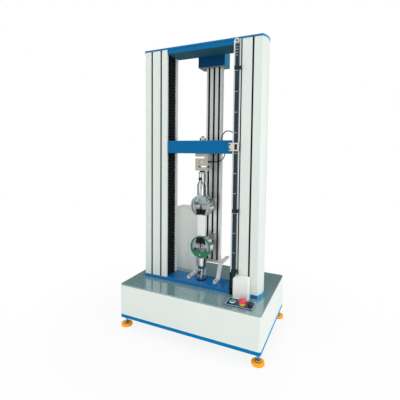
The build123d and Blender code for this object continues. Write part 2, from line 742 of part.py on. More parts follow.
def cable_route():
    """Hand-laid route from the cell's gland, through the slot, to the gland on top."""
    start = CELL_W / 2 + GLAND_L
    end = CROSSHEAD_TOP + GLAND_L
    flat = [(start, CELL_GLAND_Z), (68, CELL_GLAND_Z), (92, 918), (112, 935), (120, 962), (113, 993),
            (107, 1024), (111, 1052), (128, 1073), (150, 1076), (168, 1068), (TOP_GLAND_X, 1054),
            (TOP_GLAND_X, end)]
    return [Vector(x, LOAD_Y, z) for x, z in flat]


def load_cell_cable():
    """Cable of the cell, as straight runs and large tangent arcs."""
    points = cable_route()
    radii = []
    for before, here, after in zip(points, points[1:], points[2:]):
        turn = math.radians((here - before).get_angle(after - here))
        run = min((here - before).length, (after - here).length)
        radii.append(CABLE_BEND * run / math.tan(turn / 2))
    path = FilletPolyline(*points, radius=radii)
    start = Plane(origin=points[0], z_dir=points[1] - points[0])
    return sweep(start * Circle(CABLE_D / 2), path=path)


def cable_glands():
    """Cable glands on the cell's side and on top of the crosshead."""
    side = rod_x(LOAD_Y, CELL_GLAND_Z, CELL_W / 2, CELL_W / 2 + GLAND_L, GLAND_D)
    top = post(TOP_GLAND_X, LOAD_Y, CROSSHEAD_TOP, CROSSHEAD_TOP + GLAND_L, GLAND_D)
    return side, top


def cross_pin(z, reach):
    """Coupling pin through a socket, with a round knob in front."""
    y0 = LOAD_Y - reach - PIN_FRONT
    pin = rod_y(0, z, y0 - 1, LOAD_Y + reach + PIN_BACK, PIN_D)
    knob = rod_y(0, z, y0 - KNOB_L, y0, KNOB_D)
    return pin + fillet(knob.edges().filter_by(GeomType.CIRCLE), KNOB_ROUND)


def pin_hole(z, reach):
    """Passage for a coupling pin."""
    return rod_y(0, z, LOAD_Y - reach - 1, LOAD_Y + reach + 1, PIN_D + 2 * SEAT_CLEAR)


def upper_socket():
    """Flanged socket screwed into the cell, bored for the grip's shank."""
    top = SOCKET_TOP
    spigot = CELL_BOTTOM + STUD_IN_CELL
    bore_r = SHANK_D / 2 + SHANK_CLEAR
    bore_z = UPPER_PIN_Z + SHANK_BELOW_PIN + SHANK_TOP_GAP
    profile = [(0, spigot), (STUD_D / 2, spigot), (STUD_D / 2, top), (SOCKET_FLANGE_D / 2, top),
               (SOCKET_FLANGE_D / 2, top - SOCKET_FLANGE_H), (SOCKET_D / 2, top - SOCKET_FLANGE_H),
               (SOCKET_D / 2, SOCKET_END_Z), (bore_r, SOCKET_END_Z), (bore_r, bore_z), (0, bore_z)]
    return turned(0, LOAD_Y, profile) - pin_hole(UPPER_PIN_Z, SOCKET_D / 2)


def grip_disc(centre_z, mouth, y0, y1, diameter):
    """Round slab with a flat where the specimen enters; mouth is +1 up or -1 down."""
    disc = rod_y(0, centre_z, y0, y1, diameter)
    flat_z = centre_z + mouth * FLAT_FROM_AXIS
    z0, z1 = sorted((flat_z, flat_z + mouth * GRIP_D))
    return disc - block(-GRIP_D, GRIP_D, y0 - 1, y1 + 1, z0, z1)


def wedge_half_width(depth):
    """Half width of the jaw pocket at a depth below the mouth."""
    return POCKET_MOUTH / 2 + depth * math.tan(math.radians(TAPER_DEG))


def grip_body(centre_z, mouth):
    """Grip body: round slab with a tapered jaw pocket and a hub for the hand wheel."""
    face = GRIP_FRONT + COVER_T
    body = grip_disc(centre_z, mouth, face, GRIP_BACK, GRIP_D)
    flat_z = centre_z + mouth * FLAT_FROM_AXIS
    deep_z = flat_z - mouth * POCKET_LENGTH
    over = mouth * JAW_RECESS
    pocket = make_face(Polyline((wedge_half_width(-JAW_RECESS), flat_z + over),
                                (wedge_half_width(POCKET_LENGTH), deep_z),
                                (-wedge_half_width(POCKET_LENGTH), deep_z),
                                (-wedge_half_width(-JAW_RECESS), flat_z + over), close=True))
    body -= Pos(0, face - 1, 0) * extrude(Plane.XZ * pocket, -(POCKET_DEPTH + 1))
    hub = Pos(0, GRIP_BACK + HUB_L / 2, centre_z) * Rot(-90, 0, 0) * Cone(HUB_D / 2, HUB_NECK_D / 2, HUB_L)
    bore = rod_y(0, centre_z, face + POCKET_DEPTH - 1, GRIP_BACK + HUB_L + 1, WHEEL_SHAFT_D + 2 * RUN_CLEAR)
    return body + hub - bore


def front_cover(centre_z, mouth):
    """Crescent cover screwed on the grip's face."""
    cover = grip_disc(centre_z, mouth, GRIP_FRONT, GRIP_FRONT + COVER_T, GRIP_D)
    window = rod_y(0, centre_z, GRIP_FRONT - 1, GRIP_FRONT + COVER_T + 1, GRIP_D - 2 * COVER_RIM)
    line_z = centre_z - mouth * COVER_LINE
    z0, z1 = sorted((line_z, line_z + mouth * GRIP_D))
    cover -= window & block(-GRIP_D, GRIP_D, GRIP_FRONT - 2, GRIP_BACK, z0, z1)
    z0, z1 = sorted((centre_z, centre_z + mouth * GRIP_D))
    half_w = POCKET_MOUTH / 2
    return cover - block(-half_w, half_w, GRIP_FRONT - 1, GRIP_FRONT + COVER_T + 1, z0, z1)


def wedge_jaw(centre_z, mouth, side):
    """Serrated wedge: slanted back on the pocket wall, toothed face to the specimen."""
    lip = JAW_RECESS
    end = lip + JAW_LENGTH
    flat_z = centre_z + mouth * FLAT_FROM_AXIS
    normal_gap = JAW_CLEAR / math.cos(math.radians(TAPER_DEG))
    teeth = int(JAW_LENGTH / TOOTH_PITCH)
    pitch = JAW_LENGTH / teeth
    points = [(wedge_half_width(end) - normal_gap, end), (wedge_half_width(lip) - normal_gap, lip)]
    for tooth in range(teeth):
        points.append((JAW_GAP / 2, lip + tooth * pitch))
        points.append((JAW_GAP / 2 + TOOTH_DEPTH, lip + (tooth + 0.5) * pitch))
    points.append((JAW_GAP / 2, end))
    outline = [(side * x, flat_z - mouth * depth) for x, depth in points]
    face = GRIP_FRONT + COVER_T + JAW_CLEAR
    return Pos(0, face, 0) * extrude(Plane.XZ * make_face(Polyline(*outline, close=True)),
                                     -(POCKET_DEPTH - 2 * JAW_CLEAR))


def hand_wheel(centre_z):
    """Fluted wheel behind the grip, on the shaft that drives the wedges."""
    y0 = GRIP_BACK + HUB_L + WHEEL_GAP
    wheel = rod_y(0, centre_z, y0, y0 + WHEEL_T, WHEEL_D)
    reach = WHEEL_D / 2 + WHEEL_FLUTE_D / 2 - WHEEL_FLUTE_DEPTH
    for flute in range(WHEEL_FLUTES):
        angle = 2 * math.pi * flute / WHEEL_FLUTES
        x = reach * math.cos(angle)
        z = centre_z + reach * math.sin(angle)
        wheel -= rod_y(x, z, y0 - 1, y0 + WHEEL_T + 1, WHEEL_FLUTE_D)
    end = GRIP_FRONT + COVER_T + POCKET_DEPTH
    return wheel + rod_y(0, centre_z, end, y0 + 1, WHEEL_SHAFT_D)


def grip_neck(centre_z, mouth, socket_z, socket_d, pin_z):
    """Round neck between a grip and its socket, with a coned shoulder and the shank beyond it."""
    root = centre_z - mouth * FLAT_FROM_AXIS
    seat = socket_z + mouth * SEAT_CLEAR
    end = pin_z - mouth * SHANK_BELOW_PIN
    profile = [(0, root + mouth * NECK_ROOT), (NECK_D / 2 - NECK_ROOT_TAPER, root + mouth * NECK_ROOT),
               (NECK_D / 2, root), (NECK_D / 2, socket_z + mouth * NECK_SHOULDER), (socket_d / 2, seat),
               (SHANK_D / 2, seat), (SHANK_D / 2, end), (0, end)]
    rim = centre_z - mouth * (GRIP_D / 2 + 1)
    z0, z1 = sorted((root + mouth * (NECK_ROOT + 1), rim))
    cover_room = block(-NECK_D, NECK_D, GRIP_FRONT - NECK_D, GRIP_FRONT + COVER_T, z0, z1)
    return turned(0, LOAD_Y, profile) - cover_room


def upper_grip_body():
    """Grip body that hangs from the upper socket."""
    neck = grip_neck(UPPER_GRIP_Z, -1, SOCKET_END_Z, SOCKET_D, UPPER_PIN_Z)
    return grip_body(UPPER_GRIP_Z, -1) + neck - pin_hole(UPPER_PIN_Z, SOCKET_D / 2)


def lower_grip_body():
    """Grip body that stands in the stem."""
    neck = grip_neck(LOWER_GRIP_Z, 1, STEM_TOP, STEM_D, LOWER_PIN_Z)
    return grip_body(LOWER_GRIP_Z, 1) + neck - pin_hole(LOWER_PIN_Z, STEM_D / 2)


def lower_stem():
    """Flanged socket on the base plate, bored for the lower grip's shank."""
    stem = post(0, LOAD_Y, Z_PLATE, STEM_TOP, STEM_D)
    stem += post(0, LOAD_Y, Z_PLATE, Z_PLATE + STEM_FLANGE_H, STEM_FLANGE_D)
    bore_low = LOWER_PIN_Z - SHANK_BELOW_PIN - SHANK_TOP_GAP
    stem -= post(0, LOAD_Y, bore_low, STEM_TOP + 1, SHANK_D + 2 * SHANK_CLEAR)
    return stem - pin_hole(LOWER_PIN_Z, STEM_D / 2)


def rail_backing():
    """Bright strip on the column, with an end block above and below the rail."""
    x0 = RAIL_X0
    strip = block(x0, x0 + BACKING_W, RAIL_FACE, COLUMN_FRONT, Z_PLATE, Z_CAP)
    for z0 in (Z_PLATE, Z_CAP - RAIL_BLOCK_H):
        strip += block(x0, x0 + RAIL_W, RAIL_FACE - RAIL_BLOCK_T, RAIL_FACE, z0, z0 + RAIL_BLOCK_H)
    return strip


def limit_rail():
    """Dark T-section rail that the stop collars slide on."""
    z0 = Z_PLATE + RAIL_BLOCK_H
    z1 = Z_CAP - RAIL_BLOCK_H
    web_x = RAIL_X0 + (RAIL_W - RAIL_WEB_W) / 2
    web = block(web_x, web_x + RAIL_WEB_W, RAIL_FACE - RAIL_WEB_T, RAIL_FACE, z0, z1)
    return web + block(RAIL_X0, RAIL_X0 + RAIL_W, RAIL_FRONT, RAIL_FACE - RAIL_WEB_T, z0, z1)


def stop_collar(z):
    """C-shaped collar hooked on the rail, with a thumb knob at its side."""
    wall = COLLAR_WALL + COLLAR_CLEAR
    x0 = RAIL_X0 - wall
    x1 = RAIL_X0 + RAIL_W + wall
    lip = RAIL_WEB_T - COLLAR_CLEAR
    collar = block(x0, x1, RAIL_FRONT - wall, RAIL_FACE - COLLAR_CLEAR, z - COLLAR_H / 2, z + COLLAR_H / 2)
    collar -= block(RAIL_X0 - COLLAR_CLEAR, RAIL_X0 + RAIL_W + COLLAR_CLEAR, RAIL_FRONT - COLLAR_CLEAR,
                    RAIL_FACE - lip, z - COLLAR_H, z + COLLAR_H)
    web_x = RAIL_X0 + (RAIL_W - RAIL_WEB_W) / 2
    collar -= block(web_x - COLLAR_CLEAR, web_x + RAIL_WEB_W + COLLAR_CLEAR, RAIL_FACE - RAIL_WEB_T - 1,
                    RAIL_FACE + 1, z - COLLAR_H, z + COLLAR_H)
    knob_y = RAIL_FACE - COLLAR_KNOB_D / 2 - COLLAR_CLEAR
    neck = rod_x(knob_y, z, x1 - 1, x1 + COLLAR_NECK_L, COLLAR_NECK_D)
    x2 = x1 + COLLAR_NECK_L
    knob = rod_x(knob_y, z, x2, x2 + COLLAR_KNOB_L, COLLAR_KNOB_D)
    return collar + neck + fillet(knob.edges().filter_by(GeomType.CIRCLE), COLLAR_KNOB_ROUND)


def trip_bracket():
    """Windowed plate on the crosshead that passes in front of the rail."""
    y1 = RAIL_FRONT - COLLAR_WALL - COLLAR_CLEAR - TRIP_GAP
    middle = CROSSHEAD_Z + CROSSHEAD_H / 2
    z0 = middle - TRIP_H / 2
    x1 = TRIP_LEFT + TRIP_W
    plate = block(TRIP_LEFT, x1, y1 - TRIP_T, y1, z0, z0 + TRIP_H)
    window_x = x1 - TRIP_WINDOW_EDGE
    plate -= block(window_x - TRIP_WINDOW_W, window_x, y1 - TRIP_T - 1, y1 + 1, middle - TRIP_WINDOW_H / 2,
                   middle + TRIP_WINDOW_H / 2)
    return plate + block(TRIP_LEFT, TRIP_LEFT + TRIP_PAD_W, y1, CROSSHEAD_FRONT, z0, z0 + TRIP_H)


def limit_switch_cover():
    """Sheet cover in front of the right column's foot, open behind and below."""
    x0 = INNER_X + COVER_BOX_X
    x1 = x0 + COVER_BOX_W
    y0 = COVER_BOX_FRONT
    y1 = COVER_BOX_BACK
    z1 = Z_TOP + COVER_BOX_H
    cover = block(x0, x1, y0, y1, Z_TOP, z1)
    corners = cover.edges().filter_by(Axis.Y).group_by(Axis.Z)[-1]
    cover = fillet(corners, COVER_BOX_ROUND)
    wall = COVER_BOX_WALL
    room = block(x0 + wall, x1 - wall, y0 + wall, y1 + 1, Z_TOP - 1, z1 - wall)
    corners = room.edges().filter_by(Axis.Y).group_by(Axis.Z)[-1]
    return cover - fillet(corners, COVER_BOX_ROUND - wall)


def extensometer_column():
    """Slotted aluminium profile."""
    section = Pos(EXT_X, EXT_FRONT + PROFILE_T / 2) * Rectangle(PROFILE_W, PROFILE_T)
    pitch = PROFILE_W / PROFILE_SLOTS
    for index in range(PROFILE_SLOTS):
        x = EXT_X + (index - (PROFILE_SLOTS - 1) / 2) * pitch
        for face_y, inward in ((EXT_FRONT, 1), (EXT_FRONT + PROFILE_T, -1)):
            section -= Pos(x, face_y) * Rectangle(SLOT_NECK, 2 * SLOT_NECK_T)
            head_y = face_y + inward * (SLOT_NECK_T + SLOT_HEAD_T / 2)
            section -= Pos(x, head_y) * Rectangle(SLOT_HEAD, SLOT_HEAD_T)
    return Pos(0, 0, STAND_TOP) * extrude(section, Z_CAP - TOP_BEAM_H - HEAD_DROP - STAND_TOP)


def extensometer_head():
    """Head block behind the top beam that holds the profile's upper end."""
    x0 = EXT_X + HEAD_SHIFT - HEAD_W / 2
    y0 = COLUMN_BACK + TOP_BEAM_BACK
    head = block(x0, x0 + HEAD_W, y0, y0 + HEAD_D, Z_CAP - TOP_BEAM_H - HEAD_DROP, Z_CAP)
    return fillet(head.edges().filter_by(Axis.Z), PLATE_ROUND)


def stand_rail(side):
    """Slotted flat bar bent down to a toe on the base plate."""
    x = HEAD_SHIFT / 2 + side * RAIL_BAR_SPAN / 2 + EXT_X / 2
    x0 = x - RAIL_BAR_W / 2
    x1 = x + RAIL_BAR_W / 2
    front = STAND_TOP_FRONT
    knee = front - STAND_LEAN[side]
    arm = block(x0, x1, front, STAND_REAR, STAND_TOP - RAIL_BAR_T, STAND_TOP)
    arm = fillet(arm.edges().filter_by(Axis.Z).group_by(Axis.Y)[-1], RAIL_BAR_W / 2 - TIP_FLAT)
    toe = block(x0, x1, -STAND_TOE, knee + RAIL_BAR_T, Z_PLATE, Z_PLATE + RAIL_BAR_T)
    toe = fillet(toe.edges().filter_by(Axis.Z).group_by(Axis.Y)[0], RAIL_BAR_W / 2 - TIP_FLAT)
    leg = make_face(Polyline((front, STAND_TOP), (front + RAIL_BAR_T, STAND_TOP),
                             (knee + RAIL_BAR_T, Z_PLATE), (knee, Z_PLATE), close=True))
    bar = arm + toe + Pos(x0, 0, 0) * extrude(Plane.YZ * leg, RAIL_BAR_W)
    slot = extrude(Rot(0, 0, 90) * SlotOverall(STAND_SLOT_L, STAND_SLOT_W), RAIL_BAR_T, both=True)
    inset = RAIL_BAR_W / 2 + STAND_SLOT_L / 2 - STAND_SLOT_W / 2
    bar -= Pos(x, STAND_REAR - inset, STAND_TOP) * slot
    return bar - Pos(x, inset - STAND_TOE, Z_PLATE) * slot


def extensometer_stand():
    """Plate on two bent rails that carries the profile."""
    left = stand_rail(-1)
    right = stand_rail(1)
    x0 = left.bounding_box().max.X - 1
    x1 = right.bounding_box().min.X + 1
    depth = EXT_FRONT + PROFILE_T
    plate = block(x0, x1, STAND_TOP_FRONT, depth, STAND_TOP - STAND_PLATE_T, STAND_TOP)
    return left + plate + right


def carriage(z):
    """Extensometer carriage hooked in the profile's middle slot."""
    half_w = CARRIAGE_W / 2
    half_h = CARRIAGE_H / 2
    y1 = EXT_FRONT - CARRIAGE_GAP
    gap = CARRIAGE_GAP
    body = block(EXT_X - half_w, EXT_X + half_w, y1 - CARRIAGE_D, y1, z - half_h, z + half_h)
    body = fillet(body.edges().filter_by(Axis.Y), CARRIAGE_ROUND)
    neck = SLOT_NECK / 2 - gap
    head = SLOT_HEAD / 2 - gap
    behind = EXT_FRONT + SLOT_NECK_T + gap
    body += block(EXT_X - neck, EXT_X + neck, y1 - 1, behind + 1, z - half_h, z + half_h)
    body += block(EXT_X - head, EXT_X + head, behind, EXT_FRONT + SLOT_NECK_T + SLOT_HEAD_T - gap, z - half_h,
                  z + half_h)
    pin_x = EXT_X - half_w + CARRIAGE_PIN_D
    pin_y = y1 - CARRIAGE_D / 2
    return body + post(pin_x, pin_y, z + half_h - 1, z + half_h + CARRIAGE_PIN_L, CARRIAGE_PIN_D)


def panel_plate():
    """Control panel plate with a raised rim and bored for the devices."""
    plate = Pos(PANEL_X, PANEL_Y, Z_TOP) * extrude(RectangleRounded(PANEL_W, PANEL_D, PANEL_CORNER),
                                                   PANEL_T + PANEL_RIM_H)
    inner = RectangleRounded(PANEL_W - 2 * PANEL_RIM, PANEL_D - 2 * PANEL_RIM, PANEL_CORNER / 2)
    plate -= Pos(PANEL_X, PANEL_Y, PANEL_FACE) * extrude(inner, 2 * PANEL_RIM_H)
    for x, y in CONTROL_PLACES:
        plate -= post(x, y, Z_TOP - 1, PANEL_FACE + 1, BARREL_D + 2 * SEAT_CLEAR)
    return plate


def device_bezel(at, diameter, height, recess=0):
    """Ring on the panel with a barrel below it and, for a push button, a recess for its cap."""
    x, y = at
    top = PANEL_FACE + height
    ring = post(x, y, PANEL_FACE, top, diameter)
    ring = chamfer(ring.faces().sort_by(Axis.Z)[-1].edges(), CONTROL_ROUND)
    ring += post(x, y, PANEL_FACE - BARREL_L, PANEL_FACE + 1, BARREL_D)
    ring -= post(x, y, PANEL_FACE - BARREL_L - 1, top + 1, BARREL_BORE)
    if recess:
        ring -= post(x, y, top - recess, top + 1, CAP_D + 2 * BARREL_CLEAR)
    return ring


def start_button():
    """Push-button cap with its stem."""
    x, y = START_AT
    low = PANEL_FACE + BEZEL_H - CAP_RECESS + CAP_TRAVEL + BARREL_CLEAR
    cap = post(x, y, low, low + CAP_RISE, CAP_D)
    cap = fillet(cap.faces().sort_by(Axis.Z)[-1].edges(), CONTROL_ROUND)
    return cap + post(x, y, low - CAP_STEM_L, low, BARREL_BORE - 2 * BARREL_CLEAR)


def estop_head():
    """Mushroom head of the emergency stop, with a skirt that sinks over its collar."""
    x, y = ESTOP_AT
    low = PANEL_FACE + ESTOP_COLLAR_H + BARREL_CLEAR
    roof = low + ESTOP_TRAVEL + BARREL_CLEAR
    head = post(x, y, low, low + ESTOP_HEAD_H, ESTOP_D)
    head = fillet(head.faces().sort_by(Axis.Z)[-1].edges(), ESTOP_ROUND)
    head -= post(x, y, low - 1, roof, ESTOP_COLLAR_D + 2 * ESTOP_SKIRT_GAP)
    return head + post(x, y, low - CAP_STEM_L, roof, BARREL_BORE - 2 * BARREL_CLEAR)


def selector_knob():
    """Turning knob with a raised finger grip."""
    x, y = SELECTOR_AT
    low = PANEL_FACE + BEZEL_H + BARREL_CLEAR
    disc = post(x, y, low, low + CAP_RISE, CAP_D)
    grip = Pos(x, y, low) * extrude(SlotOverall(SELECTOR_GRIP_L, SELECTOR_GRIP_W), SELECTOR_GRIP_H)
    stem = post(x, y, low - CAP_STEM_L, low, BARREL_BORE - 2 * BARREL_CLEAR)
    return disc + grip + stem


def controller_box():
    """Upright sheet box with a lapped lid and a bar handle in front."""
    x0 = BOX_RIGHT - BOX_W
    y1 = BOX_FRONT + BOX_D
    z1 = Z_TOP + BOX_H
    box = block(x0, BOX_RIGHT, BOX_FRONT, y1, Z_TOP, z1)
    wall = BOX_WALL
    box -= block(x0 + wall, BOX_RIGHT - wall, BOX_FRONT + wall, y1 - wall, Z_TOP - 1, z1 - wall)
    lap = LID_LAP
    lid = block(x0 - lap, BOX_RIGHT + lap, BOX_FRONT - lap, y1 + lap, z1 + lap - LID_H, z1 + lap)
    lid -= block(x0, BOX_RIGHT, BOX_FRONT, y1, z1 - LID_H, z1)
    low = HANDLE_Z + HANDLE_D / 2
    high = HANDLE_Z + HANDLE_L - HANDLE_D / 2
    bar_y = BOX_FRONT - HANDLE_STAND
    path = FilletPolyline((HANDLE_X, BOX_FRONT, low), (HANDLE_X, bar_y, low), (HANDLE_X, bar_y, high),
                          (HANDLE_X, BOX_FRONT, high), radius=HANDLE_D)
    end = Plane(origin=(HANDLE_X, BOX_FRONT, low), z_dir=(0, -1, 0))
    handle = sweep(end * Circle(HANDLE_D / 2), path=path)
    return box, lid, handle


os.makedirs("parts", exist_ok=True)

save("foot_pads", *[foot_pad(x, y) for x, y in foot_places()])
save("foot_studs", *[foot_stud(x, y) for x, y in foot_places()])
save("base_tray", base_tray())
save("base_cabinet", base_cabinet())
save("rear_panel", *rear_panel())
save("worktop", worktop())
save("chassis_frame", chassis_frame())

save("base_plate", base_plate())
save("left_column", column(-1))
save("right_column", column(1))
save("groove_strips", *groove_strips())
save("top_beam", top_beam())
save("top_plate", top_plate())
save("guide_rods", *guide_rods())

save("left_ball_screw", *ball_screw(-1))
save("right_ball_screw", *ball_screw(1))
save("screw_bearings", *screw_bearings())
save("servo_motor", servo_motor())
save("motor_pulley", motor_pulley())
save("drive_belt", drive_belt())

save("crosshead", crosshead())
save("nuts_and_bushes", *nuts_and_bushes())
save("lower_bellows", *[bellows(side, Z_PLATE, ARM_BOTTOM) for side in SIDES])
save("upper_bellows", *[bellows(side, ARM_TOP, Z_CAP) for side in SIDES])

save("load_cell", load_cell())
save("load_cell_fasteners", *load_cell_fasteners())
save("load_cell_cable", load_cell_cable())
save("cable_glands", *cable_glands())
save("upper_socket", upper_socket())
save("upper_pin", cross_pin(UPPER_PIN_Z, SOCKET_D / 2))
save("upper_grip_body", upper_grip_body())
save("upper_front_cover", front_cover(UPPER_GRIP_Z, -1))
save("upper_jaw_left", wedge_jaw(UPPER_GRIP_Z, -1, -1))
save("upper_jaw_right", wedge_jaw(UPPER_GRIP_Z, -1, 1))
save("upper_hand_wheel", hand_wheel(UPPER_GRIP_Z))
save("lower_stem", lower_stem())
save("lower_pin", cross_pin(LOWER_PIN_Z, STEM_D / 2))
save("lower_grip_body", lower_grip_body())
save("lower_front_cover", front_cover(LOWER_GRIP_Z, 1))
save("lower_jaw_left", wedge_jaw(LOWER_GRIP_Z, 1, -1))
save("lower_jaw_right", wedge_jaw(LOWER_GRIP_Z, 1, 1))
save("lower_hand_wheel", hand_wheel(LOWER_GRIP_Z))

save("rail_backing", rail_backing())
save("limit_rail", limit_rail())
for level, height in COLLAR_HEIGHTS.items():
    save(f"stop_collar_{level}", stop_collar(height))
save("trip_bracket", trip_bracket())
save("limit_switch_cover", limit_switch_cover())

save("extensometer_column", extensometer_column())
save("extensometer_head", extensometer_head())
save("extensometer_stand", extensometer_stand())
for level, height in CARRIAGE_HEIGHTS.items():
    save(f"carriage_{level}", carriage(height))

save("panel_plate", panel_plate())
save("button_bezels", device_bezel(START_AT, BEZEL_D, BEZEL_H, CAP_RECESS),
     device_bezel(ESTOP_AT, ESTOP_COLLAR_D, ESTOP_COLLAR_H), device_bezel(SELECTOR_AT, BEZEL_D, BEZEL_H))
save("start_button", start_button())
save("estop_head", estop_head())
save("selector_knob", selector_knob())
save("controller_box", *controller_box())
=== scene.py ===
# %% [markdown]
# A bench-top materials testing machine with two columns, dressed for a studio picture.
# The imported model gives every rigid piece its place, so the lesson starts by loading it.
# All lengths in Blender are metres. MM turns the drawing's millimetres into them.

# %% Load the machine
import bpy
from math import atan2, pi, radians, sqrt, tau
from mathutils import Matrix, Vector


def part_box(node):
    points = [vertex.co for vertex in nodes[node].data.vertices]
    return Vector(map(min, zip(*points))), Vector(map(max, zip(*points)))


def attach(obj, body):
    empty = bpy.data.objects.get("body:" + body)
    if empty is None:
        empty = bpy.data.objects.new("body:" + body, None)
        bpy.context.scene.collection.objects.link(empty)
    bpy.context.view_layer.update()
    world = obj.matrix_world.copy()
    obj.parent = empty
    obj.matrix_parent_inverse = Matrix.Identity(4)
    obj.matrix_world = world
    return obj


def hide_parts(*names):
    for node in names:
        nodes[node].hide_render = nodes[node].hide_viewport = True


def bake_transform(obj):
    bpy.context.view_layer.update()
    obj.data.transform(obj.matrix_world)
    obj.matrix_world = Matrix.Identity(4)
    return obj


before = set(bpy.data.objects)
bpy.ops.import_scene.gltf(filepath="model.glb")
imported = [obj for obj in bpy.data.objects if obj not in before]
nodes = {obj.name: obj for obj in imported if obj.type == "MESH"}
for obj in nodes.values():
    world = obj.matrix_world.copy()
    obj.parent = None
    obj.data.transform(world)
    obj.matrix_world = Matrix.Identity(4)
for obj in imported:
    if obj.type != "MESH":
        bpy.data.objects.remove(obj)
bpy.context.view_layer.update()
MM = 0.001

# %% [markdown]
# The camera stands in front of the machine and to its right, a little above the middle of
# the columns. A wide lens and a frame that is shifted down keep the columns nearly upright
# while the base shows from above. Turning about Z, then X, then the view axis is easy to read.

# %% Camera
CAMERA_AT = Vector((0.70395, -1.58174, 0.96046))
CAMERA_TURN = radians(25.15)
CAMERA_DROP = radians(3.70)
CAMERA_ROLL = radians(0.594)
CAMERA_LENS = 28.043
SENSOR_W = 36
FRAME_SHIFT = -0.0675

lens = bpy.data.cameras.new("camera")
lens.sensor_width = SENSOR_W
lens.lens = CAMERA_LENS
lens.shift_y = FRAME_SHIFT
camera = bpy.data.objects.new("camera", lens)
camera.matrix_world = (Matrix.Translation(CAMERA_AT) @ Matrix.Rotation(CAMERA_TURN, 4, "Z")
                       @ Matrix.Rotation(pi / 2 - CAMERA_DROP, 4, "X") @ Matrix.Rotation(CAMERA_ROLL, 4, "Z"))
bpy.context.scene.collection.objects.link(camera)
bpy.context.scene.camera = camera
print("camera", [round(value, 3) for value in camera.location])

# %% [markdown]
# The load cell's cable is a fixed length of stiff signal lead. It leaves the cell to the right,
# climbs through the slot in the crosshead, makes a loop above it and goes down into a gland.
# One smooth NURBS curve with a round bevel gives that line, and both ends ride on the crosshead.
# The bevel is one metre and each point's radius scales it down, so the curve's box is its true one.

# %% Load cell cable
CABLE_D = 5 * MM
CABLE_Y = -50
CABLE_ROUTE = [(47, 913), (68, 913), (97, 916), (120, 931), (129, 960), (119, 994), (108, 1024),
               (110, 1052), (127, 1073), (150, 1076), (168, 1068), (176, 1054), (176, 1035)]

curve = bpy.data.curves.new("load_cell_lead", "CURVE")
curve.dimensions = "3D"
curve.bevel_depth = 1.0
curve.bevel_resolution = 5
curve.resolution_u = 10
curve.use_fill_caps = True
spline = curve.splines.new("NURBS")
spline.points.add(len(CABLE_ROUTE) - 1)
for point, (x, z) in zip(spline.points, CABLE_ROUTE):
    point.co = (x * MM, CABLE_Y * MM, z * MM, 1)
    point.radius = CABLE_D / 2
spline.order_u = 3
spline.use_endpoint_u = True
cable = bpy.data.objects.new("load_cell_lead", curve)
bpy.context.scene.collection.objects.link(cable)
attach(cable, "crosshead")
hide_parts("load_cell_cable")
print("cable points", len(CABLE_ROUTE))

# %% [markdown]
# Every finish is a small node tree. Writing one by hand is easier when sums look like sums, so a
# wire wraps a socket: arithmetic on it adds Math nodes, and its node method adds any other node.

# %% Shader arithmetic
class Wire:
    """A socket in a node tree."""

    def __init__(self, tree, socket=None):
        self.tree = tree
        self.socket = socket

    def node(self, kind, settings=None, sockets=None, out=0):
        """Add a node, set it up, fill or link its sockets and return one of its outputs."""
        made = self.tree.nodes.new(kind)
        for name, setting in (settings or {}).items():
            setattr(made, name, setting)
        for name, value in (sockets or {}).items():
            if isinstance(value, Wire):
                self.tree.links.new(value.socket, made.inputs[name])
            else:
                made.inputs[name].default_value = value
        return Wire(self.tree, made.outputs[out])

    def math(self, operation, *values):
        return self.node("ShaderNodeMath", {"operation": operation}, dict(enumerate(values)))

    def __add__(self, other):
        return self.math("ADD", self, other)

    def __sub__(self, other):
        return self.math("SUBTRACT", self, other)

    def __rsub__(self, other):
        return self.math("SUBTRACT", other, self)

    def __mul__(self, other):
        return self.math("MULTIPLY", self, other)

    def __lt__(self, other):
        return self.math("LESS_THAN", self, other)

    def __gt__(self, other):
        return self.math("GREATER_THAN", self, other)

    def __mod__(self, other):
        return self.math("FLOORED_MODULO", self, other)

    def __abs__(self):
        return self.math("ABSOLUTE", self)

    __radd__ = __add__
    __rmul__ = __mul__


print("shader arithmetic ready")

# %% [markdown]
# A finish is a material together with its wire and the few steps that all recipes share: noise on
# the object's own coordinates, one coordinate or the surface's direction as a start for a mask, a
# mix of two colours, and relief. Each recipe below starts from one and returns its material.

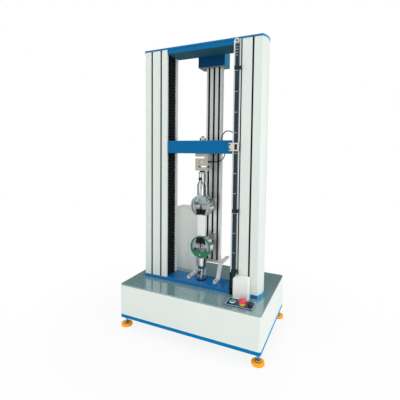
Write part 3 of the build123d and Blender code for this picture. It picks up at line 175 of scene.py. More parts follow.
# %% Finish helpers
class Finish:
    """A material with its wire, its Principled shader and the object's own coordinates."""

    def __init__(self, name, **constants):
        self.material = bpy.data.materials.new(name)
        self.material.use_nodes = True
        tree = self.material.node_tree
        self.shader = tree.nodes["Principled BSDF"]
        self.wire = Wire(tree)
        self.place = self.wire.node("ShaderNodeTexCoord", out="Object")
        for socket, value in constants.items():
            self.shader.inputs[socket.replace("_", " ")].default_value = value

    def set(self, socket, wire):
        self.wire.tree.links.new(wire.socket, self.shader.inputs[socket])

    def axis(self, name, vector=None):
        """One coordinate of the place on the object, or of another vector."""
        return self.wire.node("ShaderNodeSeparateXYZ", {}, {"Vector": vector or self.place}, out=name)

    def facing(self, name):
        """How far the surface is turned towards an axis."""
        return self.axis(name, self.wire.node("ShaderNodeNewGeometry", out="Normal"))

    def noise(self, scale, detail, stretch=None):
        """Noise on object coordinates, drawn out along an axis where stretch says so."""
        place = self.place
        if stretch:
            place = self.wire.node("ShaderNodeMapping", {}, {"Vector": place, "Scale": stretch})
        return self.wire.node("ShaderNodeTexNoise", {},
                              {"Vector": place, "Scale": scale, "Detail": detail})

    def ramp(self, wire, low, high):
        """0 below low, 1 above high and an even rise between them."""
        return self.wire.node("ShaderNodeMapRange", {},
                              {"Value": wire, "From Min": low, "From Max": high})

    def mix(self, share, first, second):
        """A colour between two. The node's sockets share names, so they go by number."""
        return self.wire.node("ShaderNodeMix", {"data_type": "RGBA"},
                              {0: share, 6: first, 7: second}, out=2)

    def bump(self, height, depth, strength):
        """Relief as deep as depth says, in metres."""
        self.set("Normal", self.wire.node("ShaderNodeBump", {},
                                          {"Height": height, "Distance": depth, "Strength": strength}))


def shade(colour, factor):
    """A lighter or darker version of a colour, with its alpha."""
    return (*[min(1, part * factor) for part in colour], 1)


print("finish helpers ready")

# %% [markdown]
# The sheet metal is powder coated: a satin skin with a fine orange peel and a hint of unevenness
# in tone. One recipe with a colour, a roughness and a gloss serves the white and the blue paint.
# The blue faces turned to the right take a second, lighter and greener colour, chosen by the surface's
# normal: painted light from the right. An underside that shows takes a third colour: painted shade under the
# top beam and painted light under the extensometer head. The whites of the limit switch cover and the
# controller box are lighter copies of the white, painted light for faces that get less light. The base plate
# and one grip cover are enamelled instead, with a clear coat that mirrors what is near.

# %% Paints
PEEL_DEPTH = 0.00010
RIPPLE_DEPTH = 0.00020


def powder_coat(name, colour, roughness, painted_light_colour=None, gloss=0.5, painted_underside_colour=None):
    """Satin paint, with painted light on right-hand faces and a painted underside colour, where asked for."""
    finish = Finish(name, Specular_IOR_Level=gloss)
    cloud = finish.noise(5, 4)
    grain = finish.noise(520, 2)
    tone = finish.mix(cloud, shade(colour, 0.965), shade(colour, 1.03))
    # Painted light: faces turned to the right take a lighter colour.
    if painted_light_colour:
        tone = finish.mix(finish.ramp(finish.facing("X"), 0.55, 0.95), tone, shade(painted_light_colour, 1))
    # Painted light and shade: faces turned down take a colour of their own.
    if painted_underside_colour:
        painted_underside = finish.mix(cloud, shade(painted_underside_colour, 0.7), shade(painted_underside_colour, 1.3))
        tone = finish.mix(finish.facing("Z") < -0.9, tone, painted_underside)
    finish.set("Base Color", tone)
    finish.set("Roughness", roughness - 0.04 + 0.06 * cloud + 0.03 * grain)
    finish.bump(grain, PEEL_DEPTH, 0.5)
    return finish.material


def gloss_enamel(name, colour, roughness=0.14, painted_light_colour=None, coat=0.15, gloss=0.25):
    """Sprayed enamel under a thin clear coat, with a slow ripple, and painted light on right-hand faces where
    asked for.
    """
    finish = Finish(name, Coat_Weight=coat, Coat_Roughness=0.05, Specular_IOR_Level=gloss)
    ripple = finish.noise(60, 1)
    cloud = finish.noise(9, 3)
    tone = finish.mix(cloud, shade(colour, 0.92), shade(colour, 1.06))
    # Painted light: faces turned to the right take a lighter colour.
    if painted_light_colour:
        tone = finish.mix(finish.ramp(finish.facing("X"), 0.10, 0.80), tone, shade(painted_light_colour, 1))
    finish.set("Base Color", tone)
    finish.set("Roughness", roughness + 0.08 * cloud)
    finish.bump(ripple, RIPPLE_DEPTH, 0.25)
    return finish.material


# Painted light: the lighter, greener blues for faces turned to the right.
PAINTED_LIGHT_BLUE = (0.004, 0.35, 0.64)
PAINTED_LIGHT_DEEP_BLUE = (0.05, 0.24, 0.42)
white_paint = powder_coat("white_powder_coat", (0.84, 0.905, 0.855), 0.42)
column_white = powder_coat("column_white_paint", (0.78, 0.845, 0.80), 0.42)
# Painted light: the limit switch cover's white is a lighter copy, for the light it lacks near the worktop.
cover_white_painted_light = powder_coat("cover_white_paint", (0.92, 0.96, 0.935), 0.40)
stand_white = powder_coat("stand_white_paint", (0.72, 0.75, 0.73), 0.36)
# Painted light: the controller box's white is a lighter copy, for the light it lacks behind the columns.
box_white_painted_light = powder_coat("controller_white_paint", (0.95, 0.98, 0.94), 0.40)
blue_paint = powder_coat("blue_powder_coat", (0.004, 0.145, 0.36), 0.36, PAINTED_LIGHT_DEEP_BLUE, gloss=0.04)
# Painted shade: the top beam's underside is darker and greyer.
beam_blue = powder_coat("beam_blue_paint", (0.006, 0.155, 0.37), 0.36, PAINTED_LIGHT_DEEP_BLUE, gloss=0.04,
                        painted_underside_colour=(0.028, 0.112, 0.160))
stripe_blue = powder_coat("stripe_blue_paint", (0.002, 0.205, 0.49), 0.36, PAINTED_LIGHT_BLUE, gloss=0.01)
cap_blue = powder_coat("cap_blue_paint", (0.004, 0.16, 0.40), 0.36, PAINTED_LIGHT_BLUE, gloss=0.12)
# Painted light: the extensometer head's underside and its right-hand faces are lighter.
head_blue = powder_coat("head_blue_paint", (0.003, 0.062, 0.175), 0.36, (0.012, 0.19, 0.37), gloss=0.05,
                        painted_underside_colour=(0.20, 0.25, 0.23))
plate_blue = gloss_enamel("plate_blue_enamel", (0.002, 0.158, 0.425), 0.10, PAINTED_LIGHT_BLUE, coat=0.5,
                          gloss=0.015)
green_enamel = gloss_enamel("green_enamel", (0.012, 0.19, 0.085))
beige_paint = powder_coat("beige_paint", (0.70, 0.68, 0.59), 0.38)
print("paints", len(bpy.data.materials))

# %% [markdown]
# The worktop carries a hard textured skin, dark grey-green and rather glossy, so it mirrors the
# columns softly. A ripple drawn out along the machine's width breaks the mirror images into short
# streaks, as rolled sheet does under paint, and light flecks lie over it.

# %% Worktop skin
SKIN_RIPPLE = 0.0011


def textured_skin(name, colour):
    """Glossy paint over rolled sheet, with light flecks."""
    finish = Finish(name, Specular_IOR_Level=1.0, Coat_Weight=1.0, Coat_Roughness=0.06)
    ripple = finish.noise(70, 3, (0.45, 1.6, 1))
    fleck = finish.noise(900, 2)
    cloud = finish.noise(7, 4)
    smear = finish.ramp(finish.noise(120, 3, (0.45, 1.3, 1)), 0.34, 0.66)
    tone = finish.mix(smear, shade(colour, 0.80), shade(colour, 1.16))
    finish.set("Base Color", finish.mix((fleck > 0.62) * 0.35, tone, shade(colour, 1.9)))
    finish.set("Roughness", 0.10 + 0.16 * cloud)
    finish.bump(ripple, SKIN_RIPPLE, 0.6)
    return finish.material


worktop_skin = textured_skin("worktop_textured_skin", (0.195, 0.330, 0.345))
print("worktop skin ready")

# %% [markdown]
# Bare metal shows how it was made. Drawn and ground faces carry fine lines along one axis, so the
# noise is stretched along it, and the same lines vary the tone, the gloss and the height a little.
# The rail's backing strip is drawn aluminium whose lowest block, under the rail, is near black.

# %% Metals
ALONG_X = (1, 90, 90)
ALONG_Z = (90, 90, 1)
LINE_DEPTH = 0.00004
HAIR_DEPTH = 0.00001
NEAR_BLACK = (0.010, 0.010, 0.011, 1)


def lined_metal(name, colour, roughness, along, smudge=0.0, black_below=None):
    """Metal with drawn or ground lines and, where asked for, finger smudges or a near-black foot."""
    finish = Finish(name, Metallic=1.0)
    lines = finish.noise(9, 3, along)
    cloud = finish.noise(14, 3)
    tone = finish.mix(lines, shade(colour, 0.78), shade(colour, 1.18))
    if smudge:
        handled = finish.ramp(finish.noise(120, 4), 0.46, 0.60)
        tone = finish.mix(handled * smudge, tone, shade(colour, 0.20))
    if black_below:
        tone = finish.mix(finish.axis("Z") < black_below, tone, NEAR_BLACK)
    finish.set("Base Color", tone)
    finish.set("Roughness", roughness - 0.06 + 0.12 * lines + 0.06 * cloud)
    finish.bump(lines, LINE_DEPTH, 0.6)
    return finish.material


def streaks(finish):
    """Long soft painted reflection streaks up and down a plated part, from 0 for dark to 1 for bright."""
    return finish.ramp(finish.noise(95, 2, (1, 1, 0.12)), 0.40, 0.56)


def polished_metal(name, colour, roughness, darkest=0.90):
    """Plated metal with faint smears, hairline wear and painted reflection streaks, whose dark tone is a
    share of the colour that an argument gives.
    """
    finish = Finish(name, Metallic=1.0)
    smear = finish.noise(35, 4)
    hair = finish.noise(30, 2, (1, 1, 40))
    finish.set("Base Color", finish.mix(streaks(finish), shade(colour, darkest), shade(colour, 1.06)))
    finish.set("Roughness", roughness + 0.07 * smear)
    finish.bump(hair, HAIR_DEPTH, 0.5)
    return finish.material


# Painted reflection: the chromes' streaks run from bright down to dark.
chrome = polished_metal("chrome_plate", (0.66, 0.69, 0.69), 0.05, darkest=0.30)
wheel_chrome = polished_metal("hand_wheel_chrome", (0.62, 0.65, 0.66), 0.10, darkest=0.35)
zinc = polished_metal("zinc_plate", (0.55, 0.58, 0.58), 0.20)
ground_steel = lined_metal("ground_steel", (0.40, 0.42, 0.42), 0.22, ALONG_X)
milled_aluminium = lined_metal("milled_aluminium", (0.52, 0.54, 0.53), 0.32, ALONG_X)
rail_aluminium = lined_metal("rail_backing_aluminium", (0.56, 0.59, 0.58), 0.30, ALONG_Z,
                             black_below=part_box("limit_rail")[0].z)
satin_nickel = lined_metal("satin_nickel", (0.36, 0.345, 0.295), 0.38, ALONG_Z)
black_steel = lined_metal("blackened_steel", (0.045, 0.046, 0.05), 0.36, ALONG_X)
print("metals ready")

# %% [markdown]
# Some metal pieces carry two finishes at once. A grip body is ground dull on its round part and plated on its
# neck; the round part's rim carries painted reflection bands, dark and bright, and the neck painted
# reflection streaks. Cutting the piece in two would give each part a material, but a mask that is worked out
# from the place on the object is simpler and leaves no seam. The upper grip's cover is plain ground steel
# with finger smudges.

# %% Grip steel
# The darkest tone of the painted reflection streaks on plated parts.
PAINTED_REFLECTION_DARK = (0.17, 0.19, 0.20, 1)
GROUND_DEPTH = 0.00005


def grip_steel(name, neck_z, upwards):
    """Ground grey-green steel whose rim carries painted reflection bands and whose neck, above or below a
    height, is plated with painted reflection streaks.
    """
    finish = Finish(name, Metallic=1.0)
    cloud = finish.noise(30, 4)
    lines = finish.noise(12, 3, ALONG_X)
    height = finish.axis("Z")
    neck = height > neck_z if upwards else height < neck_z
    face = finish.mix(lines, (0.20, 0.25, 0.245, 1), (0.40, 0.46, 0.45, 1))
    # Painted reflection: dark and bright bands round the drum's rim.
    painted_reflection_bands = finish.ramp(finish.noise(70, 2, (1, 0.12, 1)), 0.42, 0.56)
    rim = finish.mix(painted_reflection_bands, (0.12, 0.16, 0.165, 1), (0.70, 0.74, 0.74, 1))
    ground = finish.mix(abs(finish.facing("Y")) > 0.5, rim, face)
    # Painted reflection: streaks on the plated neck.
    plated = finish.mix(streaks(finish), PAINTED_REFLECTION_DARK, (0.74, 0.77, 0.77, 1))
    finish.set("Base Color", finish.mix(neck, ground, plated))
    finish.set("Roughness", 0.22 + 0.14 * cloud - 0.22 * neck)
    finish.bump(lines * (1 - neck), GROUND_DEPTH, 0.5)
    return finish.material


upper_grip_steel = grip_steel("upper_grip_steel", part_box("upper_front_cover")[1].z, True)
lower_grip_steel = grip_steel("lower_grip_steel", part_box("lower_front_cover")[0].z, False)
upper_cover_steel = lined_metal("upper_cover_steel", (0.33, 0.385, 0.385), 0.24, ALONG_X, smudge=0.75)
print("grip steel ready")

# %% [markdown]
# The wedge jaws are blackened next to the mouth and ground bright and blotchy further in, and the
# lower stem is chrome above a blued foot flange. Both change with the height alone, so a ramp or a
# step along Z tells their finishes apart.

# %% Jaws and stem
JAW_BLACK_TO = 34 * MM
JAW_BRIGHT_FROM = 44 * MM
JAW_RAGGED = 12 * MM
BLOTCH_DEPTH = 0.0002
FLANGE_H = 6 * MM


def jaw_steel(name, mouth_z, upwards):
    """Wedge steel with a ragged border between its black and its ground part."""
    finish = Finish(name, Metallic=1.0)
    blotch = finish.ramp(finish.noise(150, 5, (1.6, 1, 0.7)), 0.36, 0.62)
    height = finish.axis("Z")
    inside = height - mouth_z if upwards else mouth_z - height
    ground = finish.ramp(inside + JAW_RAGGED * finish.noise(60, 2), JAW_BLACK_TO, JAW_BRIGHT_FROM)
    bright = finish.mix(blotch, (0.055, 0.06, 0.062, 1), (0.50, 0.54, 0.54, 1))
    finish.set("Base Color", finish.mix(ground, (0.016, 0.017, 0.019, 1), bright))
    finish.set("Roughness", 0.36 - 0.16 * ground)
    finish.bump(blotch * ground, BLOTCH_DEPTH, 0.5)
    return finish.material


def flanged_chrome(name, flange_z):
    """Chrome with painted reflection streaks, blued below a height."""
    finish = Finish(name, Metallic=1.0)
    blued = finish.axis("Z") < flange_z
    plated = finish.mix(streaks(finish), PAINTED_REFLECTION_DARK, (0.70, 0.73, 0.73, 1))
    finish.set("Base Color", finish.mix(blued, plated, (0.012, 0.055, 0.14, 1)))
    finish.set("Roughness", 0.06 + 0.30 * blued)
    return finish.material


upper_jaw_steel = jaw_steel("upper_jaw_steel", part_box("upper_jaw_left")[0].z, True)
lower_jaw_steel = jaw_steel("lower_jaw_steel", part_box("lower_jaw_left")[1].z, False)
stem_chrome = flanged_chrome("stem_chrome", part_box("lower_stem")[0].z + FLANGE_H)
print("jaw and stem metals ready")

# %% [markdown]
# The extensometer's column is a drawn aluminium profile, bright outside, with painted shade inside its slots
# and along their lips, and painted light on its lower stretch, where the grips in front of it take light
# away. Its slots repeat evenly, so the remainder of X by the slot pitch finds their lips, and a box inside
# the walls finds what is deeper.

# %% Slotted profile
SLOT_LIP = 0.6 * MM
OUTER_WALL = 1.0 * MM
SLOT_PITCH = 30 * MM
PAINTED_SLOT_SHADE_W = 11 * MM
PAINTED_LIGHT_BELOW = 0.75
DRAWN_ABOVE = 1.05


def slotted_profile(name, middle_x, half_width, front_y, back_y):
    """Drawn aluminium, dark with painted shade between the given walls and at the slots' lips, and lighter
    lower down with painted light.
    """
    finish = Finish(name, Metallic=0.5, Specular_IOR_Level=0.2)
    lines = finish.noise(9, 3, ALONG_Z)
    aside = finish.axis("X") - middle_x
    depth = finish.axis("Y")
    # Painted shade: dark inside the slots and along their lips.
    inside = (abs(aside) < half_width) * (depth > front_y) * (depth < back_y)
    painted_lip_shade = abs((aside + SLOT_PITCH / 2) % SLOT_PITCH - SLOT_PITCH / 2) < PAINTED_SLOT_SHADE_W / 2
    slot = finish.wire.math("MAXIMUM", inside, painted_lip_shade)
    drawn = finish.mix(lines, (0.34, 0.37, 0.36, 1), (0.62, 0.65, 0.64, 1))
    # Painted light: the profile grows lighter towards its lower end.
    painted_lighter = finish.mix(lines, (0.50, 0.53, 0.52, 1), (0.84, 0.87, 0.86, 1))
    bright = finish.mix(finish.ramp(finish.axis("Z"), PAINTED_LIGHT_BELOW, DRAWN_ABOVE), painted_lighter, drawn)
    finish.set("Base Color", finish.mix(slot, bright, (0.012, 0.012, 0.013, 1)))
    finish.set("Roughness", 0.30 + 0.10 * lines + 0.25 * slot)
    finish.bump(lines * (1 - slot), LINE_DEPTH, 0.5)
    return finish.material


low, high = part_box("extensometer_column")
profile_metal = slotted_profile("slotted_aluminium", (low.x + high.x) / 2, (high.x - low.x) / 2 - OUTER_WALL,
                                low.y + SLOT_LIP, high.y - SLOT_LIP)
print("profile metal ready")

# %% [markdown]
# Plastics and rubber are never quite even: a moulded skin has a fine grain, and a rubber pad is duller where
# it has been handled. One recipe with two noises gives all of them. The feet get a painted glow, so that
# their orange stays bright in the cabinet's shade. The bellows are coated cloth, whose crossed threads are
# two wave textures.

# %% Plastics, rubber and cloth
GRAIN_DEPTH = 0.00008
THREAD_DEPTH = 0.0001
THREADS = 420


def moulded(name, colour, roughness, coat=0.0, gloss=0.5, glow=0.0):
    """Moulded plastic or rubber, with a painted glow, a little light of its own, where glow asks for it."""
    finish = Finish(name, Coat_Weight=coat, Coat_Roughness=0.08, Specular_IOR_Level=gloss,
                    Emission_Color=shade(colour, 1), Emission_Strength=glow)
    grain = finish.noise(700, 2)
    cloud = finish.noise(40, 3)
    finish.set("Base Color", finish.mix(cloud, shade(colour, 0.88), shade(colour, 1.1)))
    finish.set("Roughness", roughness - 0.05 + 0.1 * cloud)
    finish.bump(grain, GRAIN_DEPTH, 0.4)
    return finish.material


def bellows_cloth(name, colour):
    """Coated cloth: two crossed threads, with the creases rubbed a little paler."""
    finish = Finish(name, Specular_IOR_Level=0.12)
    warp, weft = [finish.wire.node("ShaderNodeTexWave", {"bands_direction": axis},
                                   {"Vector": finish.place, "Scale": THREADS}) for axis in ("Y", "Z")]
    rub = finish.noise(60, 3)
    finish.set("Base Color", finish.mix(rub, shade(colour, 0.8), shade(colour, 1.4)))
    finish.set("Roughness", 0.45 + 0.2 * rub)
    finish.bump(warp * weft, THREAD_DEPTH, 0.5)
    return finish.material


# Painted light: the feet glow a little.
orange_rubber = moulded("orange_polyurethane", (1.0, 0.39, 0.025), 0.42, gloss=0.08, glow=0.28)
black_rubber = moulded("black_rubber", (0.008, 0.008, 0.010), 0.6, gloss=0.1)
black_plastic = moulded("black_moulding", (0.012, 0.012, 0.014), 0.34, gloss=0.35)
cable_sheath = moulded("cable_sheath", (0.004, 0.004, 0.005), 0.50, gloss=0.05)
green_button = moulded("green_button_plastic", (0.01, 0.34, 0.14), 0.24, coat=0.3, gloss=0.3)
red_button = moulded("red_button_plastic", (0.84, 0.035, 0.075), 0.22, coat=0.4, gloss=0.3)
yellow_collar = moulded("yellow_collar_plastic", (1.0, 0.64, 0.01), 0.3, coat=0.2, gloss=0.3)
white_bezel = moulded("white_bezel_plastic", (0.93, 0.94, 0.92), 0.25, coat=0.3)
knob_grey = moulded("knob_grey_plastic", (0.045, 0.048, 0.052), 0.26, coat=0.3)
pale_potting = moulded("pale_potting_resin", (0.66, 0.64, 0.57), 0.4)
white_mark = moulded("white_pointer_paint", (0.85, 0.86, 0.86), 0.45)
collar_navy = moulded("collar_navy_plastic", (0.012, 0.024, 0.038), 0.40, gloss=0.15)
seal_rubber = moulded("seal_rubber", (0.007, 0.009, 0.018), 0.6, gloss=0.08)
dull_black = moulded("dull_black_paint", (0.02, 0.021, 0.024), 0.55, gloss=0.25)
pleat_cloth = bellows_cloth("bellows_cloth", (0.006, 0.007, 0.011))
cable.data.materials.append(cable_sheath)
print("plastics ready")

# %% [markdown]
# Two pieces are printed. The limit rail is navy with a pale mark every 100 mm and a short ladder of
# marks at its top end, and the panel is navy film inside a pale raised frame. Both prints follow
# from coordinates, so they need no picture.

# %% Rail and panel print
PALE_PRINT = (0.62, 0.68, 0.70, 1)
PRINT_SHARE = 0.7
MARK_PITCH = 100 * MM
FIRST_MARK = 59 * MM
MARK_H = 2.8 * MM
MARK_W = 13 * MM
RUNG_STEP = 13.5 * MM
LADDER_H = 58 * MM
RIM_STEP = 0.7 * MM


def printed_rail(name, colour, middle_x, top_z):
    finish = Finish(name, Specular_IOR_Level=0.15)
    cloud = finish.noise(30, 3)
    height = finish.axis("Z")
    marked = ((height - FIRST_MARK) % MARK_PITCH) < MARK_H
    rung = ((height % RUNG_STEP) < MARK_H) * (height > top_z - LADDER_H)
    in_middle = abs(finish.axis("X") - middle_x) < MARK_W / 2
    base = finish.mix(cloud, shade(colour, 0.8), shade(colour, 1.25))
    printed = finish.wire.math("MAXIMUM", marked, rung) * in_middle
    finish.set("Base Color", finish.mix(printed * PRINT_SHARE, base, PALE_PRINT))
    finish.set("Roughness", 0.34 + 0.1 * cloud)
    return finish.material


def framed_film(name, colour, frame_z):
    finish = Finish(name, Specular_IOR_Level=0.25)
    cloud = finish.noise(60, 3)
    base = finish.mix(cloud, shade(colour, 0.85), shade(colour, 1.2))
    finish.set("Base Color", finish.mix(finish.axis("Z") > frame_z, base, PALE_PRINT))
    finish.set("Roughness", 0.20 + 0.1 * cloud)
    return finish.material


low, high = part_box("limit_rail")
rail_print = printed_rail("printed_navy_rail", (0.014, 0.034, 0.052), (low.x + high.x) / 2, high.z)
panel_film = framed_film("navy_panel_film", (0.006, 0.05, 0.145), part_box("panel_plate")[1].z - RIM_STEP)
print("prints ready")

# %% [markdown]
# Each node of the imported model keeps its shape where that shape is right, and takes its finish here.

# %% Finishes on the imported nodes
FINISHES = {
    "foot_pads": orange_rubber, "foot_studs": chrome, "base_tray": stripe_blue, "base_cabinet": white_paint,
    "rear_panel": white_paint, "worktop": worktop_skin, "chassis_frame": dull_black, "base_plate": plate_blue,
    "left_column": column_white, "right_column": column_white, "groove_strips": black_rubber,
    "top_beam": beam_blue, "top_plate": cap_blue, "guide_rods": ground_steel,
    "left_ball_screw": ground_steel, "right_ball_screw": ground_steel, "screw_bearings": black_steel,
    "servo_motor": dull_black, "motor_pulley": milled_aluminium, "drive_belt": black_rubber,
    "crosshead": blue_paint, "nuts_and_bushes": ground_steel, "lower_bellows": pleat_cloth,
    "upper_bellows": pleat_cloth, "load_cell": satin_nickel, "load_cell_fasteners": zinc,
    "load_cell_cable": cable_sheath, "cable_glands": black_plastic, "upper_socket": chrome,
    "upper_pin": black_plastic, "upper_grip_body": upper_grip_steel, "upper_front_cover": upper_cover_steel,
    "upper_jaw_left": upper_jaw_steel, "upper_jaw_right": upper_jaw_steel, "upper_hand_wheel": black_steel,
    "lower_stem": stem_chrome, "lower_pin": black_plastic, "lower_grip_body": lower_grip_steel,
    "lower_front_cover": green_enamel, "lower_jaw_left": lower_jaw_steel, "lower_jaw_right": lower_jaw_steel,
    "lower_hand_wheel": black_steel, "rail_backing": rail_aluminium, "limit_rail": rail_print,
    "stop_collar_upper": collar_navy, "stop_collar_middle": collar_navy, "stop_collar_lower": collar_navy,
    "trip_bracket": beige_paint, "limit_switch_cover": cover_white_painted_light, "extensometer_column": profile_metal,
    "extensometer_head": head_blue, "extensometer_stand": stand_white, "carriage_upper": milled_aluminium,
    "carriage_lower": milled_aluminium, "panel_plate": panel_film, "button_bezels": chrome,
    "start_button": green_button, "estop_head": red_button, "selector_knob": black_plastic,
    "controller_box": box_white_painted_light,
}
for name, node in nodes.items():
    node.data.materials.clear()
    node.data.materials.append(FINISHES[name])
print("dressed nodes", len(FINISHES))

# %% [markdown]
# Small parts are shaped as at a bench: a primitive first, then edit mode, then a modifier or two.
# An operator works on whatever is selected, so each helper here selects exactly what it means to.

# %% Bench helpers
SMOOTH_BELOW = radians(40)
BEVEL_ABOVE = radians(35)


def deselect():
    bpy.ops.object.select_all(action="DESELECT")


def pick(*pieces):
    """Select these pieces alone, the first one active."""
    deselect()
    for piece in pieces:
        piece.select_set(True)
    bpy.context.view_layer.objects.active = pieces[0]


def settle(piece):
    """Put a piece's place, turn and size into its mesh."""
    pick(piece)
    bpy.ops.object.transform_apply(location=True, rotation=True, scale=True)
    return piece


def apply(piece, kind, **settings):
    """Add a modifier, set it up and apply it."""
    pick(piece)
    modifier = piece.modifiers.new(kind.lower(), kind)
    for name, value in settings.items():
        setattr(modifier, name, value)
    bpy.ops.object.modifier_apply(modifier=modifier.name)


def smooth(piece):
    pick(piece)
    bpy.ops.object.shade_smooth_by_angle(angle=SMOOTH_BELOW)
    return piece


def soften(piece, width):
    """Round the sharp edges of a piece by a width in millimetres."""
    apply(piece, "BEVEL", width=width * MM, segments=2, limit_method="ANGLE", angle_limit=BEVEL_ABOVE)
    return smooth(piece)


print("bench helpers ready")

# %% [markdown]
# In edit mode only a part of the mesh is worked on. Vertices are chosen by their place and extruded
# by a distance, and at the end the doubles are merged and all faces are turned outwards.

# %% Edit mode helpers
MERGE_WITHIN = MM / 50


def choose(piece, test):
    """In edit mode, select the vertices whose place passes a test."""
    bpy.ops.mesh.select_all(action="DESELECT")
    bpy.ops.object.mode_set(mode="OBJECT")
    for vertex in piece.data.vertices:
        vertex.select = bool(test(vertex.co))
    bpy.ops.object.mode_set(mode="EDIT")


def pull(*by):
    """In edit mode, extrude what is selected by a distance in millimetres."""
    bpy.ops.mesh.extrude_region_move(TRANSFORM_OT_translate={"value": Vector(by) * MM})


def outwards():
    """In edit mode, merge doubles, turn all faces outwards and go back to object mode."""
    bpy.ops.mesh.select_all(action="SELECT")
    bpy.ops.mesh.remove_doubles(threshold=MERGE_WITHIN)
    bpy.ops.mesh.normals_make_consistent(inside=False)
    bpy.ops.object.mode_set(mode="OBJECT")


print("edit mode helpers ready")

# %% [markdown]
# A few starts serve nearly all small parts. The first is a drawn line, a plane merged to one point
# and extruded from point to point. Spun about Z it is a turned part, and wound up by a Screw modifier
# it is a thread.

# %% Drawn starts
TOOTH_DEPTH = 0.6
WINDING_STEPS = 24


def drawn_line(name, points):
    """A line through points in millimetres, left in edit mode."""
    deselect()
    bpy.ops.mesh.primitive_plane_add(size=MM)
    piece = bpy.context.object
    piece.name = name
    bpy.ops.object.mode_set(mode="EDIT")
    bpy.ops.mesh.select_all(action="SELECT")
    bpy.ops.mesh.merge(type="CENTER")
    bpy.ops.transform.translate(value=Vector(points[0]) * MM)
    for here, there in zip(points, points[1:]):
        pull(*(Vector(there) - Vector(here)))
    return piece


def turned(name, profile, sides=40):
    """Turn a profile of (radius, height) points about the Z axis."""
    piece = drawn_line(name, [(radius, 0, height) for radius, height in profile])
    bpy.ops.mesh.select_all(action="SELECT")
    bpy.ops.mesh.spin(steps=sides, angle=tau, center=(0, 0, 0), axis=(0, 0, 1))
    outwards()
    return smooth(piece)


def thread(name, diameter, pitch, low, high):
    """One tooth wound up the Z axis, TOOTH_DEPTH pitches deep."""
    core = diameter / 2 - TOOTH_DEPTH * pitch
    tooth = [(core, 0, low), (diameter / 2, 0, low + pitch / 2), (core, 0, low + pitch)]
    piece = drawn_line(name, tooth)
    bpy.ops.object.mode_set(mode="OBJECT")
    apply(piece, "SCREW", angle=tau, screw_offset=pitch * MM, iterations=round((high - low) / pitch),
          steps=WINDING_STEPS, render_steps=WINDING_STEPS, use_merge_vertices=True,
          merge_threshold=MERGE_WITHIN)
    bpy.ops.object.mode_set(mode="EDIT")
    outwards()
    return smooth(piece)


print("drawn starts ready")

# %% [markdown]
# Two more starts are primitives. A block is a cube at its size whose edges are rounded, and a ribbed
# disc is a cylinder with every second corner drawn in.

# %% Block and disc
def block(name, low, high, rounding):
    """A block between two corners, with rounded edges."""
    deselect()
    middle = [(a + b) / 2 * MM for a, b in zip(low, high)]
    size = [(b - a) * MM for a, b in zip(low, high)]
    bpy.ops.mesh.primitive_cube_add(size=1, location=middle, scale=size)
    bpy.context.object.name = name
    return soften(settle(bpy.context.object), rounding)


def ribbed_disc(name, diameter, height, ribs, depth):
    """A disc that lies on z = 0 and whose rim is cut in ribs."""
    deselect()
    bpy.ops.mesh.primitive_cylinder_add(vertices=2 * ribs, radius=diameter / 2 * MM, depth=height * MM,
                                        location=(0, 0, height / 2 * MM))
    piece = settle(bpy.context.object)
    piece.name = name
    bpy.ops.object.mode_set(mode="EDIT")
    choose(piece, lambda spot: round(atan2(spot.y, spot.x) / (pi / ribs)) % 2 == 1)
    drawn_in = 1 - 2 * depth / diameter
    bpy.ops.transform.resize(value=(drawn_in, drawn_in, 1), center_override=(0, 0, 0))
    bpy.ops.object.mode_set(mode="OBJECT")
    return piece


print("block and disc ready")

# %% [markdown]
# A finished model is then put in place. What repeats is modelled once and copied, each copy with a mesh of
# its own, and the copies are joined. Dressing a piece gives it a finish in one material slot and a body to
# ride on, and where it takes over from an imported node, it hides that node.

# %% Placing helpers
UP = (0, 0, 1)
FRONT = (0, -1, 0)
BACK = (0, 1, 0)
LEFT = (-1, 0, 0)
RIGHT = (1, 0, 0)


def joined(name, *pieces):
    pick(*pieces)
    bpy.ops.object.join()
    pieces[0].name = name
    return pieces[0]


def put(piece, place, towards):
    """Move a model to a place in millimetres, its Z axis turned to a direction."""
    turn = Vector(UP).rotation_difference(Vector(towards)).to_matrix().to_4x4()
    piece.matrix_world = Matrix.Translation(Vector(place) * MM) @ turn


def spread(name, model, places, towards=UP):
    """Put a copy of a model in each place and join the copies."""
    copies = []
    for place in places:
        copy = model.copy()
        copy.data = model.data.copy()
        put(copy, place, towards)
        bpy.context.scene.collection.objects.link(copy)
        copies.append(copy)
    return settle(joined(name, *copies))


def stand(piece, place, towards=UP):
    """Put a model itself in its place."""
    put(piece, place, towards)
    return settle(piece)


def dress(piece, body, finish, slot, *stands_for):
    piece.data.materials.clear()
    piece.data.materials.append(finish)
    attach(piece, body)
    if stands_for:
        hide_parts(*stands_for)
    return piece


def box_mm(node):
    """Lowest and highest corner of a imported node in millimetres."""
    low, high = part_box(node)
    return low / MM, high / MM


print("placing helpers ready")

# %% [markdown]
# The bellows keep dust off the screws. Each is one strip of coated cloth folded like a fan, fixed to the base
# plate or the cap at one end and to the crosshead's arm at the other. One fold is extruded from an edge, an
# Array repeats it, a Bevel rounds the creases, a Mirror makes the other column's strip and a Solidify gives
# the cloth its thickness.

# %% Bellows
PLEAT_PITCH = 17
PLEAT_DEPTH = 11
PLEAT_MERGE = MM / 20
CREASE_ROUND = 1.2
CREASE_ABOVE = radians(20)
CLOTH_THICK = 1.2


